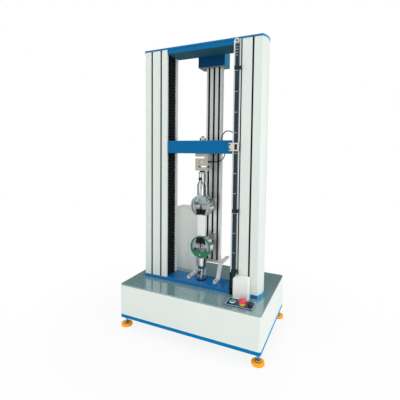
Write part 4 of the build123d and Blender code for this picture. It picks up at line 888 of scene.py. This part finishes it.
def folded_strip(name, node):
    low, high = box_mm(node)
    count = round((high.z - low.z) / PLEAT_PITCH)
    step = (high.z - low.z) / count
    near = high.x - PLEAT_DEPTH - CLOTH_THICK
    strip = drawn_line(name, [(near, low.y, low.z), (near, high.y, low.z)])
    bpy.ops.mesh.select_all(action="SELECT")
    pull(PLEAT_DEPTH, 0, step / 2)
    pull(-PLEAT_DEPTH, 0, step / 2)
    bpy.ops.object.mode_set(mode="OBJECT")
    apply(strip, "ARRAY", count=count, use_relative_offset=False, use_constant_offset=True,
          constant_offset_displace=(0, 0, step * MM), use_merge_vertices=True, merge_threshold=PLEAT_MERGE)
    apply(strip, "BEVEL", width=CREASE_ROUND * MM, segments=3, limit_method="ANGLE",
          angle_limit=CREASE_ABOVE)
    apply(strip, "MIRROR", use_axis=(True, False, False))
    bpy.ops.object.mode_set(mode="EDIT")
    bpy.ops.mesh.select_all(action="SELECT")
    bpy.ops.mesh.normals_make_consistent(inside=False)
    bpy.ops.object.mode_set(mode="OBJECT")
    apply(strip, "SOLIDIFY", thickness=CLOTH_THICK * MM, offset=0)
    smooth(strip)
    strip.data.materials.clear()
    strip.data.materials.append(pleat_cloth)
    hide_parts(node)
    return strip, low * MM, high * MM


strip, low, high = folded_strip("lower_pleats", "lower_bellows")
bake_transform(strip)
strip, low, high = folded_strip("upper_pleats", "upper_bellows")
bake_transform(strip)
print("bellows faces", len(strip.data.polygons))

# %% [markdown]
# Black seals close the grooves in the front of both columns. Each is an extruded rubber strip whose
# two lips lie on the column's face, with a hollow between them. The section is drawn as a line,
# filled and pulled up to the strip's length, and the one strip is copied into the four grooves.

# %% Groove seals
GROOVE_W = 6.4
GROOVE_PITCH = 58.5
SEAL_SECTION = [(-3.1, 4), (-3.1, 0), (-4.5, 0), (-4.3, -0.4), (-2.8, -0.9), (-1, -0.2),
                (1, -0.2), (2.8, -0.9), (4.3, -0.4), (4.5, 0), (3.1, 0), (3.1, 4)]

low, high = box_mm("groove_strips")
column_low, column_high = box_mm("right_column")
seal = drawn_line("seal_model", [(x, y, low.z) for x, y in SEAL_SECTION])
bpy.ops.mesh.select_all(action="SELECT")
bpy.ops.mesh.edge_face_add()
bpy.ops.mesh.select_all(action="SELECT")
pull(0, 0, high.z - low.z)
outwards()
groove_x = [high.x - GROOVE_W / 2 - step * GROOVE_PITCH for step in (0, 1)]
places = [(side * x, column_low.y, 0) for side in (-1, 1) for x in groove_x]
dress(spread("groove_seals", seal, places), "frame", seal_rubber, "black_rubber", "groove_strips")
bpy.data.objects.remove(seal)
print("groove seals", len(places), "column front", column_low.y)

# %% [markdown]
# The machine stands on four levelling feet: a cast polyurethane pad, a plated stud with a collar
# that turns in the pad, and a lock nut against the tray. The pad and the collar are turned, the nut
# is a six-sided cylinder with rounded corners, and the thread between them is wound.

# %% Feet
PAD_R = 30.5
PAD_PROFILE = [(0, 0), (27, 0), (29.4, 1.0), (PAD_R, 3.2), (PAD_R, 6.2), (29.7, 6.9), (29.7, 7.7),
               (PAD_R, 8.4), (PAD_R, 10.8), (29.4, 13.6), (27, 15), (15.4, 15), (14, 14.2),
               (13.2, 13.1), (0, 13.1)]
COLLAR_PROFILE = [(0, 13.1), (12.9, 13.1), (12.9, 20.2), (11.6, 21.6), (6.4, 22), (6.2, 57), (0, 57)]
PAD_SIDES = 56
FOOT_STUD_D = 14
FOOT_PITCH = 2
FOOT_THREAD = (21, 49)
FOOT_NUT_FLATS = 24
FOOT_NUT_H = 10
NUT_ROUNDING = 1.0


def hex_nut(name, flats, height):
    """A hexagon on z = 0 with rounded corners."""
    deselect()
    bpy.ops.mesh.primitive_cylinder_add(vertices=6, radius=flats / sqrt(3) * MM, depth=height * MM,
                                        location=(0, 0, height / 2 * MM))
    bpy.context.object.name = name
    return soften(settle(bpy.context.object), NUT_ROUNDING)


low, high = box_mm("foot_pads")
foot_places = [(sx * (high.x - PAD_R), sy * (high.y - PAD_R), 0) for sx in (-1, 1) for sy in (-1, 1)]
pad = turned("pad_model", PAD_PROFILE, PAD_SIDES)
dress(spread("levelling_pads", pad, foot_places), "frame", orange_rubber, "orange_pad", "foot_pads")
tray_bottom = box_mm("base_tray")[0].z
nut = stand(hex_nut("foot_nut", FOOT_NUT_FLATS, FOOT_NUT_H), (0, 0, tray_bottom - FOOT_NUT_H))
stud = joined("stud_model", turned("collar", COLLAR_PROFILE),
              thread("foot_thread", FOOT_STUD_D, FOOT_PITCH, *FOOT_THREAD), nut)
dress(spread("levelling_studs", stud, foot_places), "frame", chrome, "chrome_parts", "foot_studs")
for model in (pad, stud):
    bpy.data.objects.remove(model)
print("feet", len(foot_places))

# %% [markdown]
# Socket-head screws hold the covers and brackets. The top of the head is a ring bridged between a
# round loop and a six-sided one: the outer loop is pulled down to make the side, the inner one to
# make the key socket, and a small bevel breaks the edge.

# %% Cap screws
KEY_R = 0.29
PARTING_R = 0.40
KEY_DEPTH = 0.55
EDGE_BREAK = 0.04
HEAD_SIDES = 24
SMALL_HEAD = (8, 4)
LARGE_HEAD = (13, 6)


def cap_screw(name, head_d, head_h):
    """A screw head on z = 0. KEY_DEPTH is a share of its height, the rest are shares of its diameter."""
    top = head_h * MM
    parting = head_d * PARTING_R * MM
    deselect()
    bpy.ops.mesh.primitive_circle_add(vertices=HEAD_SIDES, radius=head_d / 2 * MM, location=(0, 0, top))
    screw = settle(bpy.context.object)
    screw.name = name
    bpy.ops.object.mode_set(mode="EDIT")
    bpy.ops.mesh.primitive_circle_add(vertices=6, radius=head_d * KEY_R * MM, location=(0, 0, top))
    bpy.ops.mesh.select_all(action="SELECT")
    bpy.ops.mesh.bridge_edge_loops()
    choose(screw, lambda spot: spot.xy.length < parting)
    pull(0, 0, -KEY_DEPTH * head_h)
    bpy.ops.mesh.edge_face_add()
    choose(screw, lambda spot: spot.xy.length > parting)
    pull(0, 0, -head_h)
    bpy.ops.mesh.edge_face_add()
    outwards()
    return soften(screw, EDGE_BREAK * head_d)


small_screw = cap_screw("small_screw_model", *SMALL_HEAD)
large_screw = cap_screw("large_screw_model", *LARGE_HEAD)
print("screw faces", len(small_screw.data.polygons))

# %% [markdown]
# The screws go where the machine needs them. Three groups face the operator: two dark screws hold
# the trip bracket on the crosshead, a bright one the lower grip's cover, and a dark one each end
# block of the limit rail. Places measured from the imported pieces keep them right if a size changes.

# %% Screws in front
BRACKET_INSET = 4.8
BRACKET_RISE = 11
COVER_RISE = 17

low, high = box_mm("trip_bracket")
places = [(low.x + BRACKET_INSET, low.y, (low.z + high.z) / 2 + side * BRACKET_RISE) for side in (-1, 1)]
dress(spread("bracket_screws", small_screw, places, FRONT), "crosshead", black_steel, "hard_steel")

low, high = box_mm("lower_front_cover")
places = [((low.x + high.x) / 2, low.y, low.z + COVER_RISE)]
dress(spread("lower_cover_screw", small_screw, places, FRONT), "frame", zinc, "chrome_parts")

rail_low, rail_high = box_mm("limit_rail")
backing_low, backing_high = box_mm("rail_backing")
rail_x = (rail_low.x + rail_high.x) / 2
places = [(rail_x, backing_low.y, (backing_low.z + rail_low.z) / 2),
          (rail_x, backing_low.y, (backing_high.z + rail_high.z) / 2)]
dress(spread("rail_screws", small_screw, places, FRONT), "frame", black_steel, "hard_steel")
print("front screws placed")

# %% [markdown]
# Four large screws tie the cap to each column from above, and two small ones on either side close
# the lid of the controller box.

# %% Screws on cap and lid
CAP_ALONG = 55
CAP_ACROSS = 38.5
LID_DROP = 14
LID_INSETS = (28, 105)

cap_top = box_mm("top_plate")[1].z
column_x = (column_low.x + column_high.x) / 2
column_y = (column_low.y + column_high.y) / 2
places = [(side * (column_x + along), column_y + across, cap_top) for side in (-1, 1)
          for along in (-CAP_ALONG, CAP_ALONG) for across in (-CAP_ACROSS, CAP_ACROSS)]
dress(spread("cap_screws", large_screw, places), "frame", black_steel, "hard_steel")

low, high = box_mm("controller_box")
lid_screws = []
for side, x, towards in (("left", low.x, LEFT), ("right", high.x, RIGHT)):
    places = [(x, high.y - inset, high.z - LID_DROP) for inset in LID_INSETS]
    lid_screws.append(spread(f"lid_screws_{side}", small_screw, places, towards))
dress(joined("lid_screws", *lid_screws), "frame", zinc, "chrome_parts")
print("cap and lid screws placed")

# %% [markdown]
# On top of the crosshead a stud comes up from the load cell, with a washer and a nut. The washer and
# the stud's core are turned, the nut is the hexagon known from the feet, and the thread is wound.

# %% Crosshead stud
WASHER_H = 3
WASHER_PROFILE = [(0, 0), (18.4, 0), (19, 0.6), (19, 2.4), (18.4, WASHER_H), (0, WASHER_H)]
CELL_NUT_FLATS = 30
CELL_NUT_H = 13
CELL_STUD_D = 16
CELL_PITCH = 2

low, high = box_mm("load_cell_fasteners")
cell_low, cell_high = box_mm("load_cell")
load_y = (cell_low.y + cell_high.y) / 2
crosshead_top = box_mm("crosshead")[1].z
stub_h = high.z - crosshead_top
washer = turned("stud_washer", WASHER_PROFILE)
nut = stand(hex_nut("stud_nut", CELL_NUT_FLATS, CELL_NUT_H), (0, 0, WASHER_H))
stub = turned("stud_core", [(0, 0), (6.9, 0), (6.9, stub_h - 1.2), (5.8, stub_h), (0, stub_h)])
winding = thread("stud_thread", CELL_STUD_D, CELL_PITCH, WASHER_H + CELL_NUT_H - CELL_PITCH, stub_h - 1)
stud = stand(joined("crosshead_stud", washer, nut, stub, winding), (0, load_y, crosshead_top))
dress(stud, "crosshead", zinc, "chrome_parts", "load_cell_fasteners")
print("crosshead stud height", round(stub_h, 1))

# %% [markdown]
# Below the cell a dark ribbed lock ring keeps the socket from turning, and the cell's gauge pocket
# is sealed with pale resin in front and behind. The ring is a ribbed disc, a plug a flat turned part.

# %% Lock ring and gauge plugs
LOCK_RING_D = 30
LOCK_RING_RIBS = 14
LOCK_RIB_DEPTH = 1.2
LOCK_RING_ROUNDING = 0.4
POCKET_DEPTH = 4
PLUG_PROFILE = [(0, 0), (12.6, 0), (12.6, 1.6), (11.8, 2.2), (0, 2.4)]

ring = ribbed_disc("lock_ring", LOCK_RING_D, cell_low.z - low.z, LOCK_RING_RIBS, LOCK_RIB_DEPTH)
ring = stand(soften(ring, LOCK_RING_ROUNDING), (0, load_y, low.z))
dress(ring, "crosshead", black_steel, "hard_steel", "load_cell_fasteners")

plug = turned("gauge_plug", PLUG_PROFILE)
pocket_z = (cell_low.z + cell_high.z) / 2
fronts = spread("gauge_plug_front", plug, [(0, cell_low.y + POCKET_DEPTH, pocket_z)], FRONT)
backs = spread("gauge_plug_back", plug, [(0, cell_high.y - POCKET_DEPTH, pocket_z)], BACK)
bpy.data.objects.remove(plug)
dress(joined("gauge_plugs", fronts, backs), "crosshead", pale_potting, "cell_nickel")
print("lock ring height", round(cell_low.z - low.z, 1))

# %% [markdown]
# The cable leaves the cell, and enters the crosshead, through a small gland with a hexagon and a domed cap.

# %% Lead glands
GLAND_FLATS = 10.6
GLAND_HEX_H = 4.5
GLAND_L = 10
DOME_PROFILE = [(0, 4), (4.9, 4), (4.9, 7.4), (4.2, 9.2), (3.0, GLAND_L), (2.5, GLAND_L), (2.5, 6), (0, 6)]

gland = joined("gland_model", hex_nut("gland_base", GLAND_FLATS, GLAND_HEX_H),
               turned("gland_dome", DOME_PROFILE))
cable_start_z = CABLE_ROUTE[0][1]
cable_end_x = CABLE_ROUTE[-1][0]
side_gland = spread("cell_gland", gland, [(cell_high.x, load_y, cable_start_z)], RIGHT)
top_gland = spread("crosshead_gland", gland, [(cable_end_x, load_y, crosshead_top)])
bpy.data.objects.remove(gland)
glands = dress(joined("lead_glands", side_gland, top_gland), "crosshead", black_plastic, "black_plastic",
               "cable_glands")
print("glands at", cable_start_z, "and", cable_end_x)

# %% [markdown]
# A coupling pin locks each grip in its socket: a plain steel pin with a black moulded knob in front.
# Both are turned about the pin's axis and then laid to point at the operator.

# %% Coupling pins
KNOB_L = 13
PIN_R = 4


def coupling_pin(node, body):
    low, high = box_mm(node)
    length = high.y - low.y
    root = length - KNOB_L
    pin_profile = [(0, 0), (PIN_R - 0.8, 0), (PIN_R, 0.8), (PIN_R, root + 3), (0, root + 3)]
    knob_profile = [(0, root), (5.6, root), (6.4, root + 0.6), (6.6, root + 2.5), (8.6, root + 4.6),
                    (9.5, root + 7), (9.4, root + 9.4), (8.2, root + 11.6), (5.4, root + 12.8), (0, length)]
    place = ((low.x + high.x) / 2, high.y, (low.z + high.z) / 2)
    pin = stand(turned(f"{node}_rod", pin_profile), place, FRONT)
    knob = stand(turned(f"{node}_knob", knob_profile), place, FRONT)
    dress(pin, body, chrome, "chrome_parts", node)
    dress(knob, body, black_plastic, "black_plastic", node)


coupling_pin("upper_pin", "crosshead")
coupling_pin("lower_pin", "frame")
print("coupling pins ready")

# %% [markdown]
# The hand wheel behind each grip drives the wedges. Its rim is ribbed for the fingers, its face is
# dished, and a boss in the middle takes the shaft. Inset makes each new ring of the face and extrude
# moves it in or out, the way a lathe hand would face the casting.

# %% Hand wheels
WHEEL_T = 20
WHEEL_RIBS = 30
WHEEL_RIB_DEPTH = 1.8
WHEEL_ROUNDING = 0.7
RIM_W = 7
DISH = 6
BOSS_R = 15
BOSS_DROP = 1
SHAFT_R = 7


def hand_wheel(node, body):
    low, high = box_mm(node)
    diameter = high.x - low.x
    wheel = ribbed_disc(f"{node}_rim", diameter, WHEEL_T, WHEEL_RIBS, WHEEL_RIB_DEPTH)
    bpy.ops.object.mode_set(mode="EDIT")
    choose(wheel, lambda spot: spot.z > WHEEL_T / 2 * MM)
    bpy.ops.mesh.inset(thickness=RIM_W * MM)
    pull(0, 0, -DISH)
    bpy.ops.mesh.inset(thickness=(diameter / 2 - RIM_W - BOSS_R - WHEEL_RIB_DEPTH) * MM)
    pull(0, 0, DISH - BOSS_DROP)
    bpy.ops.object.mode_set(mode="OBJECT")
    soften(wheel, WHEEL_ROUNDING)
    shaft_l = high.y - low.y - WHEEL_T
    shaft = turned(f"{node}_shaft", [(0, -shaft_l), (SHAFT_R, -shaft_l), (SHAFT_R, 1), (0, 1)])
    wheel = joined(f"{node}_ribbed", wheel, shaft)
    stand(wheel, ((low.x + high.x) / 2, high.y - WHEEL_T, (low.z + high.z) / 2), BACK)
    dress(wheel, body, wheel_chrome, "hard_steel", node)


hand_wheel("upper_hand_wheel", "upper_wheel")
hand_wheel("lower_hand_wheel", "lower_wheel")
print("hand wheels ready")

# %% [markdown]
# The control panel has three devices. The first is the start button: a green cap in a white ring on
# a black gasket. All their round parts are turned, stood on the panel's film and dressed, so one
# helper does these three steps. The cap is a piece of its own, because it moves.

# %% Start button
PANEL_RIM = 1.5
RING_H = 8
RING_PROFILE = [(10.8, 2), (10.8, 7.6), (11.4, RING_H), (13.2, RING_H), (14.4, 6.8), (14.5, 2), (10.8, 2)]
GASKET_PROFILE = [(7.5, 0), (15.2, 0), (15.2, 2.2), (14.4, 3), (7.5, 3), (7.5, 0)]
CAP_H = 5
CAP_PROFILE = [(0, -18), (7.2, -18), (7.2, 0), (10.5, 0), (10.5, 4.0), (9.6, CAP_H), (8.4, 4.9), (6.5, 4.5),
               (0, 4.2)]


def turned_part(name, profile, place, *dressing):
    """Turn a profile, stand it in its place and dress it."""
    return dress(stand(turned(name, profile), place), *dressing)


def plan_middle(low, high):
    return (low.x + high.x) / 2, (low.y + high.y) / 2


film_z = box_mm("panel_plate")[1].z - PANEL_RIM
low, high = box_mm("start_button")
start = plan_middle(low, high)
turned_part("start_ring", RING_PROFILE, (*start, film_z), "frame", white_bezel, "chrome_parts",
            "button_bezels")
turned_part("start_gasket", GASKET_PROFILE, (*start, film_z), "frame", black_plastic, "black_plastic",
            "button_bezels")
turned_part("start_cap", CAP_PROFILE, (*start, high.z - CAP_H), "start_button", green_button, "start_green",
            "start_button")
print("start button at", [round(value, 1) for value in start])

# %% [markdown]
# The second device is the emergency stop, a red mushroom on a yellow collar. The mushroom is hollow
# underneath, so that it can go down over the collar.

# %% Emergency stop
COLLAR_H = 12
STOP_COLLAR_PROFILE = [(7.5, 0), (15, 0), (15, 2.5), (14.4, 3.2), (14.2, 10.6), (13.6, COLLAR_H),
                       (7.5, COLLAR_H), (7.5, 0)]
HEAD_H = 15

low, high = box_mm("estop_head")
stop = plan_middle(low, high)
head_r = (high.x - low.x) / 2
head_profile = [(0, 6.3), (15.6, 6.3), (15.6, 0), (head_r - 0.9, 0), (head_r, 1), (head_r, 8.4),
                (head_r - 1.2, 11.6), (head_r - 4.2, 14), (head_r - 8.5, HEAD_H), (head_r - 11, 14.5),
                (0, 14.1)]
turned_part("stop_collar_ring", STOP_COLLAR_PROFILE, (*stop, film_z), "frame", yellow_collar, "chrome_parts",
            "button_bezels")
turned_part("stop_mushroom", head_profile, (*stop, high.z - HEAD_H), "estop", red_button, "stop_red",
            "estop_head")
print("emergency stop radius", round(head_r, 1))

# %% [markdown]
# The third device is the selector, a black knob with a lever across it and a white pointer on the
# lever. The lever and the pointer are rounded blocks, and all that turns rides on the selector.

# %% Selector
BASE_PROFILE = [(7.5, 0), (13.6, 0), (13.6, 2), (12.4, 7), (11.6, RING_H), (7.5, RING_H), (7.5, 0)]
KNOB_PROFILE = [(0, -17), (7.2, -17), (7.2, 0), (10.5, 0), (10.5, 4), (9.5, 5), (0, 5)]
KNOB_GAP = 0.3
LEVER_R = 9.5
LEVER_HALF = 3.5
LEVER_FOOT = 4
LEVER_ROUNDING = 1.4
POINTER_FROM = 1
POINTER_TO = 9.2
POINTER_HALF = 0.7
POINTER_PROUD = 0.3
POINTER_ROUNDING = 0.2

low, high = box_mm("selector_knob")
x, y = plan_middle(low, high)
turned_part("selector_base", BASE_PROFILE, (x, y, film_z), "frame", black_plastic, "black_plastic",
            "button_bezels")
knob_z = film_z + RING_H + KNOB_GAP
knob = stand(turned("selector_disc", KNOB_PROFILE), (x, y, knob_z))
lever = block("selector_lever", (x - LEVER_R, y - LEVER_HALF, knob_z + LEVER_FOOT),
              (x + LEVER_R, y + LEVER_HALF, high.z), LEVER_ROUNDING)
dress(joined("selector_handle", knob, lever), "selector", knob_grey, "black_plastic", "selector_knob")
pointer = block("selector_pointer", (x - POINTER_TO, y - POINTER_HALF, high.z - POINTER_PROUD),
                (x - POINTER_FROM, y + POINTER_HALF, high.z + POINTER_PROUD), POINTER_ROUNDING)
dress(pointer, "selector", white_mark, "black_plastic")
print("selector height", round(high.z - film_z, 1))

# %% [markdown]
# Each stop collar is clamped on the rail by a thumb screw with a ribbed head, which slips over the
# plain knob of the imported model. One head is modelled and copied to the three collars.

# %% Thumb screws
THUMB_D = 15.6
THUMB_L = 10.6
THUMB_RIBS = 18
THUMB_RIB_DEPTH = 0.7
THUMB_PROUD = 0.2
THUMB_ROUNDING = 0.5
COLLAR_DEPTH = 15

thumb = ribbed_disc("thumb_model", THUMB_D, THUMB_L, THUMB_RIBS, THUMB_RIB_DEPTH)
soften(thumb, THUMB_ROUNDING)
for level in ("upper", "middle", "lower"):
    low, high = box_mm(f"stop_collar_{level}")
    place = (high.x - THUMB_L + THUMB_PROUD, high.y - COLLAR_DEPTH / 2, (low.z + high.z) / 2)
    head = spread(f"{level}_thumb_screw", thumb, [place], RIGHT)
    dress(head, f"{level}_collar", black_plastic, "black_plastic")
bpy.data.objects.remove(thumb)
print("thumb screws ready")

# %% [markdown]
# Beside the rail's lower end a black rubber buffer stands on the worktop, against the base plate, and
# stops the lowest collar. It is a rounded block, a little clear of the rail and of the collar above.

# %% Rail buffer
BUFFER_INSET = 0.5
BUFFER_T = 9
BUFFER_GAP = 0.4
BUFFER_ROUNDING = 1.2

plate_low = box_mm("base_plate")[0]
buffer_top = box_mm("stop_collar_lower")[0].z - BUFFER_GAP
buffer = block("rail_buffer", (column_low.x + BUFFER_INSET, plate_low.y - BUFFER_T, plate_low.z),
               (rail_low.x - BUFFER_GAP, plate_low.y, buffer_top), BUFFER_ROUNDING)
dress(buffer, "frame", black_rubber, "black_rubber")
print("rail buffer height", round(buffer_top - plate_low.z, 1))

# %% [markdown]
# The back carries the mains inlet with its three flat pins, and six screws round the vent panel.
# A pin is a block with rounded edges, copied three times.

# %% Rear fittings
PIN_HALF = (1, 8, 3)
PIN_STEP = 11
PIN_RISE = 3
PIN_ROUNDING = 0.6
INLET_DEPTH = 11
PANEL_ALONG = 195
PANEL_ACROSS = 48

low, high = box_mm("rear_panel")
middle_x = (low.x + high.x) / 2
middle_z = (low.z + high.z) / 2
pin = block("inlet_pin_model", [-half for half in PIN_HALF], PIN_HALF, PIN_ROUNDING)
places = [(middle_x + along * PIN_STEP, high.y - INLET_DEPTH, middle_z + rise * PIN_RISE)
          for along, rise in ((-1, -1), (0, 1), (1, -1))]
dress(spread("inlet_pins", pin, places), "frame", zinc, "chrome_parts")
places = [(middle_x + along, high.y, middle_z + across) for along in (-PANEL_ALONG, 0, PANEL_ALONG)
          for across in (-PANEL_ACROSS, PANEL_ACROSS)]
dress(spread("panel_screws", small_screw, places, BACK), "frame", zinc, "chrome_parts")
for model in (pin, small_screw, large_screw):
    bpy.data.objects.remove(model)
print("rear fittings ready")

# %% [markdown]
# The floor is a pale sheet that only the camera, mirrors and glass see as white. Near the machine a
# part of its own shading stays in, so a soft shadow is left at the feet, and further out it is plain
# white. A Mix Shader between a matt and a glowing surface does both.

# %% Floor
FLOOR_SIZE = 14
PAPER = (0.94, 0.94, 0.94, 1)
WHITE = (1, 1, 1, 1)
NEAR_WHITE = 0.88
FADE_FROM = 0.50
FADE_TO = 1.20


def seen_directly(wire):
    """1 for rays that show the background itself: from the camera, a mirror or through glass."""
    camera_ray, glossy_ray, glass_ray = [wire.node("ShaderNodeLightPath", out=f"Is {kind} Ray")
                                         for kind in ("Camera", "Glossy", "Transmission")]
    return wire.math("MINIMUM", camera_ray + glossy_ray + glass_ray, 1.0)


deselect()
bpy.ops.mesh.primitive_plane_add(size=FLOOR_SIZE, location=(0, 0, 0))
floor = bpy.context.object
floor.name = "studio_floor"
paper = bpy.data.materials.new("white_paper_floor")
paper.use_nodes = True
wire = Wire(paper.node_tree)
paper.node_tree.nodes.remove(paper.node_tree.nodes["Principled BSDF"])
matt = wire.node("ShaderNodeBsdfDiffuse", {}, {"Color": PAPER})
glow = wire.node("ShaderNodeEmission", {}, {"Color": WHITE, "Strength": 1.0})
spot = wire.node("ShaderNodeTexCoord", out="Object")
reach = wire.node("ShaderNodeVectorMath", {"operation": "LENGTH"}, {0: spot}, out="Value")
white = wire.node("ShaderNodeMapRange", {"interpolation_type": "SMOOTHSTEP"},
                  {"Value": reach, "From Min": FADE_FROM, "From Max": FADE_TO, "To Min": NEAR_WHITE})
sheet = wire.node("ShaderNodeMixShader", {}, {0: seen_directly(wire) * white, 1: matt, 2: glow})
paper.node_tree.links.new(sheet.socket, paper.node_tree.nodes["Material Output"].inputs["Surface"])
floor.data.materials.append(paper)
print("floor size", FLOOR_SIZE)

# %% [markdown]
# The world does the same as the floor: it lights evenly and weakly, and seen directly it is white.

# %% World
AMBIENT = 0.56

world = bpy.data.worlds.new("studio")
bpy.context.scene.world = world
world.use_nodes = True
wire = Wire(world.node_tree)
strength = AMBIENT + (1 - AMBIENT) * seen_directly(wire)
light = wire.node("ShaderNodeBackground", {}, {"Color": WHITE, "Strength": strength})
world.node_tree.links.new(light.socket, world.node_tree.nodes["World Output"].inputs["Surface"])
print("world strength", AMBIENT)

# %% [markdown]
# A glossy worktop in an all white studio mirrors nothing but white, so photographers put up a dark
# card. Here one stands behind the machine on the left and is seen by reflections alone, so that the
# pale columns show up in the worktop and the base plate.

# %% Dark card
CARD_AT = (-1.1, 2.0, 1.15)
CARD_W = 3.8
CARD_H = 2.0
FELT = (0.05, 0.05, 0.05, 1)

deselect()
bpy.ops.mesh.primitive_plane_add(size=1, location=CARD_AT, rotation=(pi / 2, 0, 0))
card = bpy.context.object
card.name = "dark_card"
card.scale = (CARD_W, CARD_H, 1)
card.visible_camera = card.visible_diffuse = card.visible_shadow = False
felt = bpy.data.materials.new("dark_felt")
felt.use_nodes = True
felt.node_tree.nodes["Principled BSDF"].inputs["Base Color"].default_value = FELT
card.data.materials.append(felt)
print("card size", CARD_W, CARD_H)

# %% [markdown]
# Four large soft lamps do the rest: a main one to the right, because the machine's right flank is
# the brightest in the picture, a weaker one in front on the left that opens the front faces, a low
# fill in front for the cabinet, and one above. Each is an area lamp turned to look at the machine.

# %% Lamps
def soft_lamp(name, at, towards, size, power):
    """A square lamp at a place in metres, looking at another, with its size in metres and power in watts."""
    lamp = bpy.data.lights.new(name, "AREA")
    lamp.shape = "SQUARE"
    lamp.size = size
    lamp.energy = power
    holder = bpy.data.objects.new(name, lamp)
    holder.location = at
    holder.rotation_euler = (Vector(towards) - Vector(at)).to_track_quat("-Z", "Y").to_euler()
    bpy.context.scene.collection.objects.link(holder)


soft_lamp("main_lamp", (3.2, 0.3, 0.9), (0.1, 0, 0.7), 2.2, 32)
soft_lamp("front_lamp", (-1.4, -3.4, 1.3), (0, 0, 0.8), 2.4, 10)
soft_lamp("fill_lamp", (0.9, -3.0, 0.4), (0, 0, 0.4), 1.2, 9)
soft_lamp("top_lamp", (0.4, -1.2, 3.6), (0, -0.4, 0), 2.6, 36)
print("lamps", len(bpy.data.lights))

# %% [markdown]
# Last of all the view transform is set to Standard.

# %% View transform
bpy.context.scene.view_settings.view_transform = "Standard"
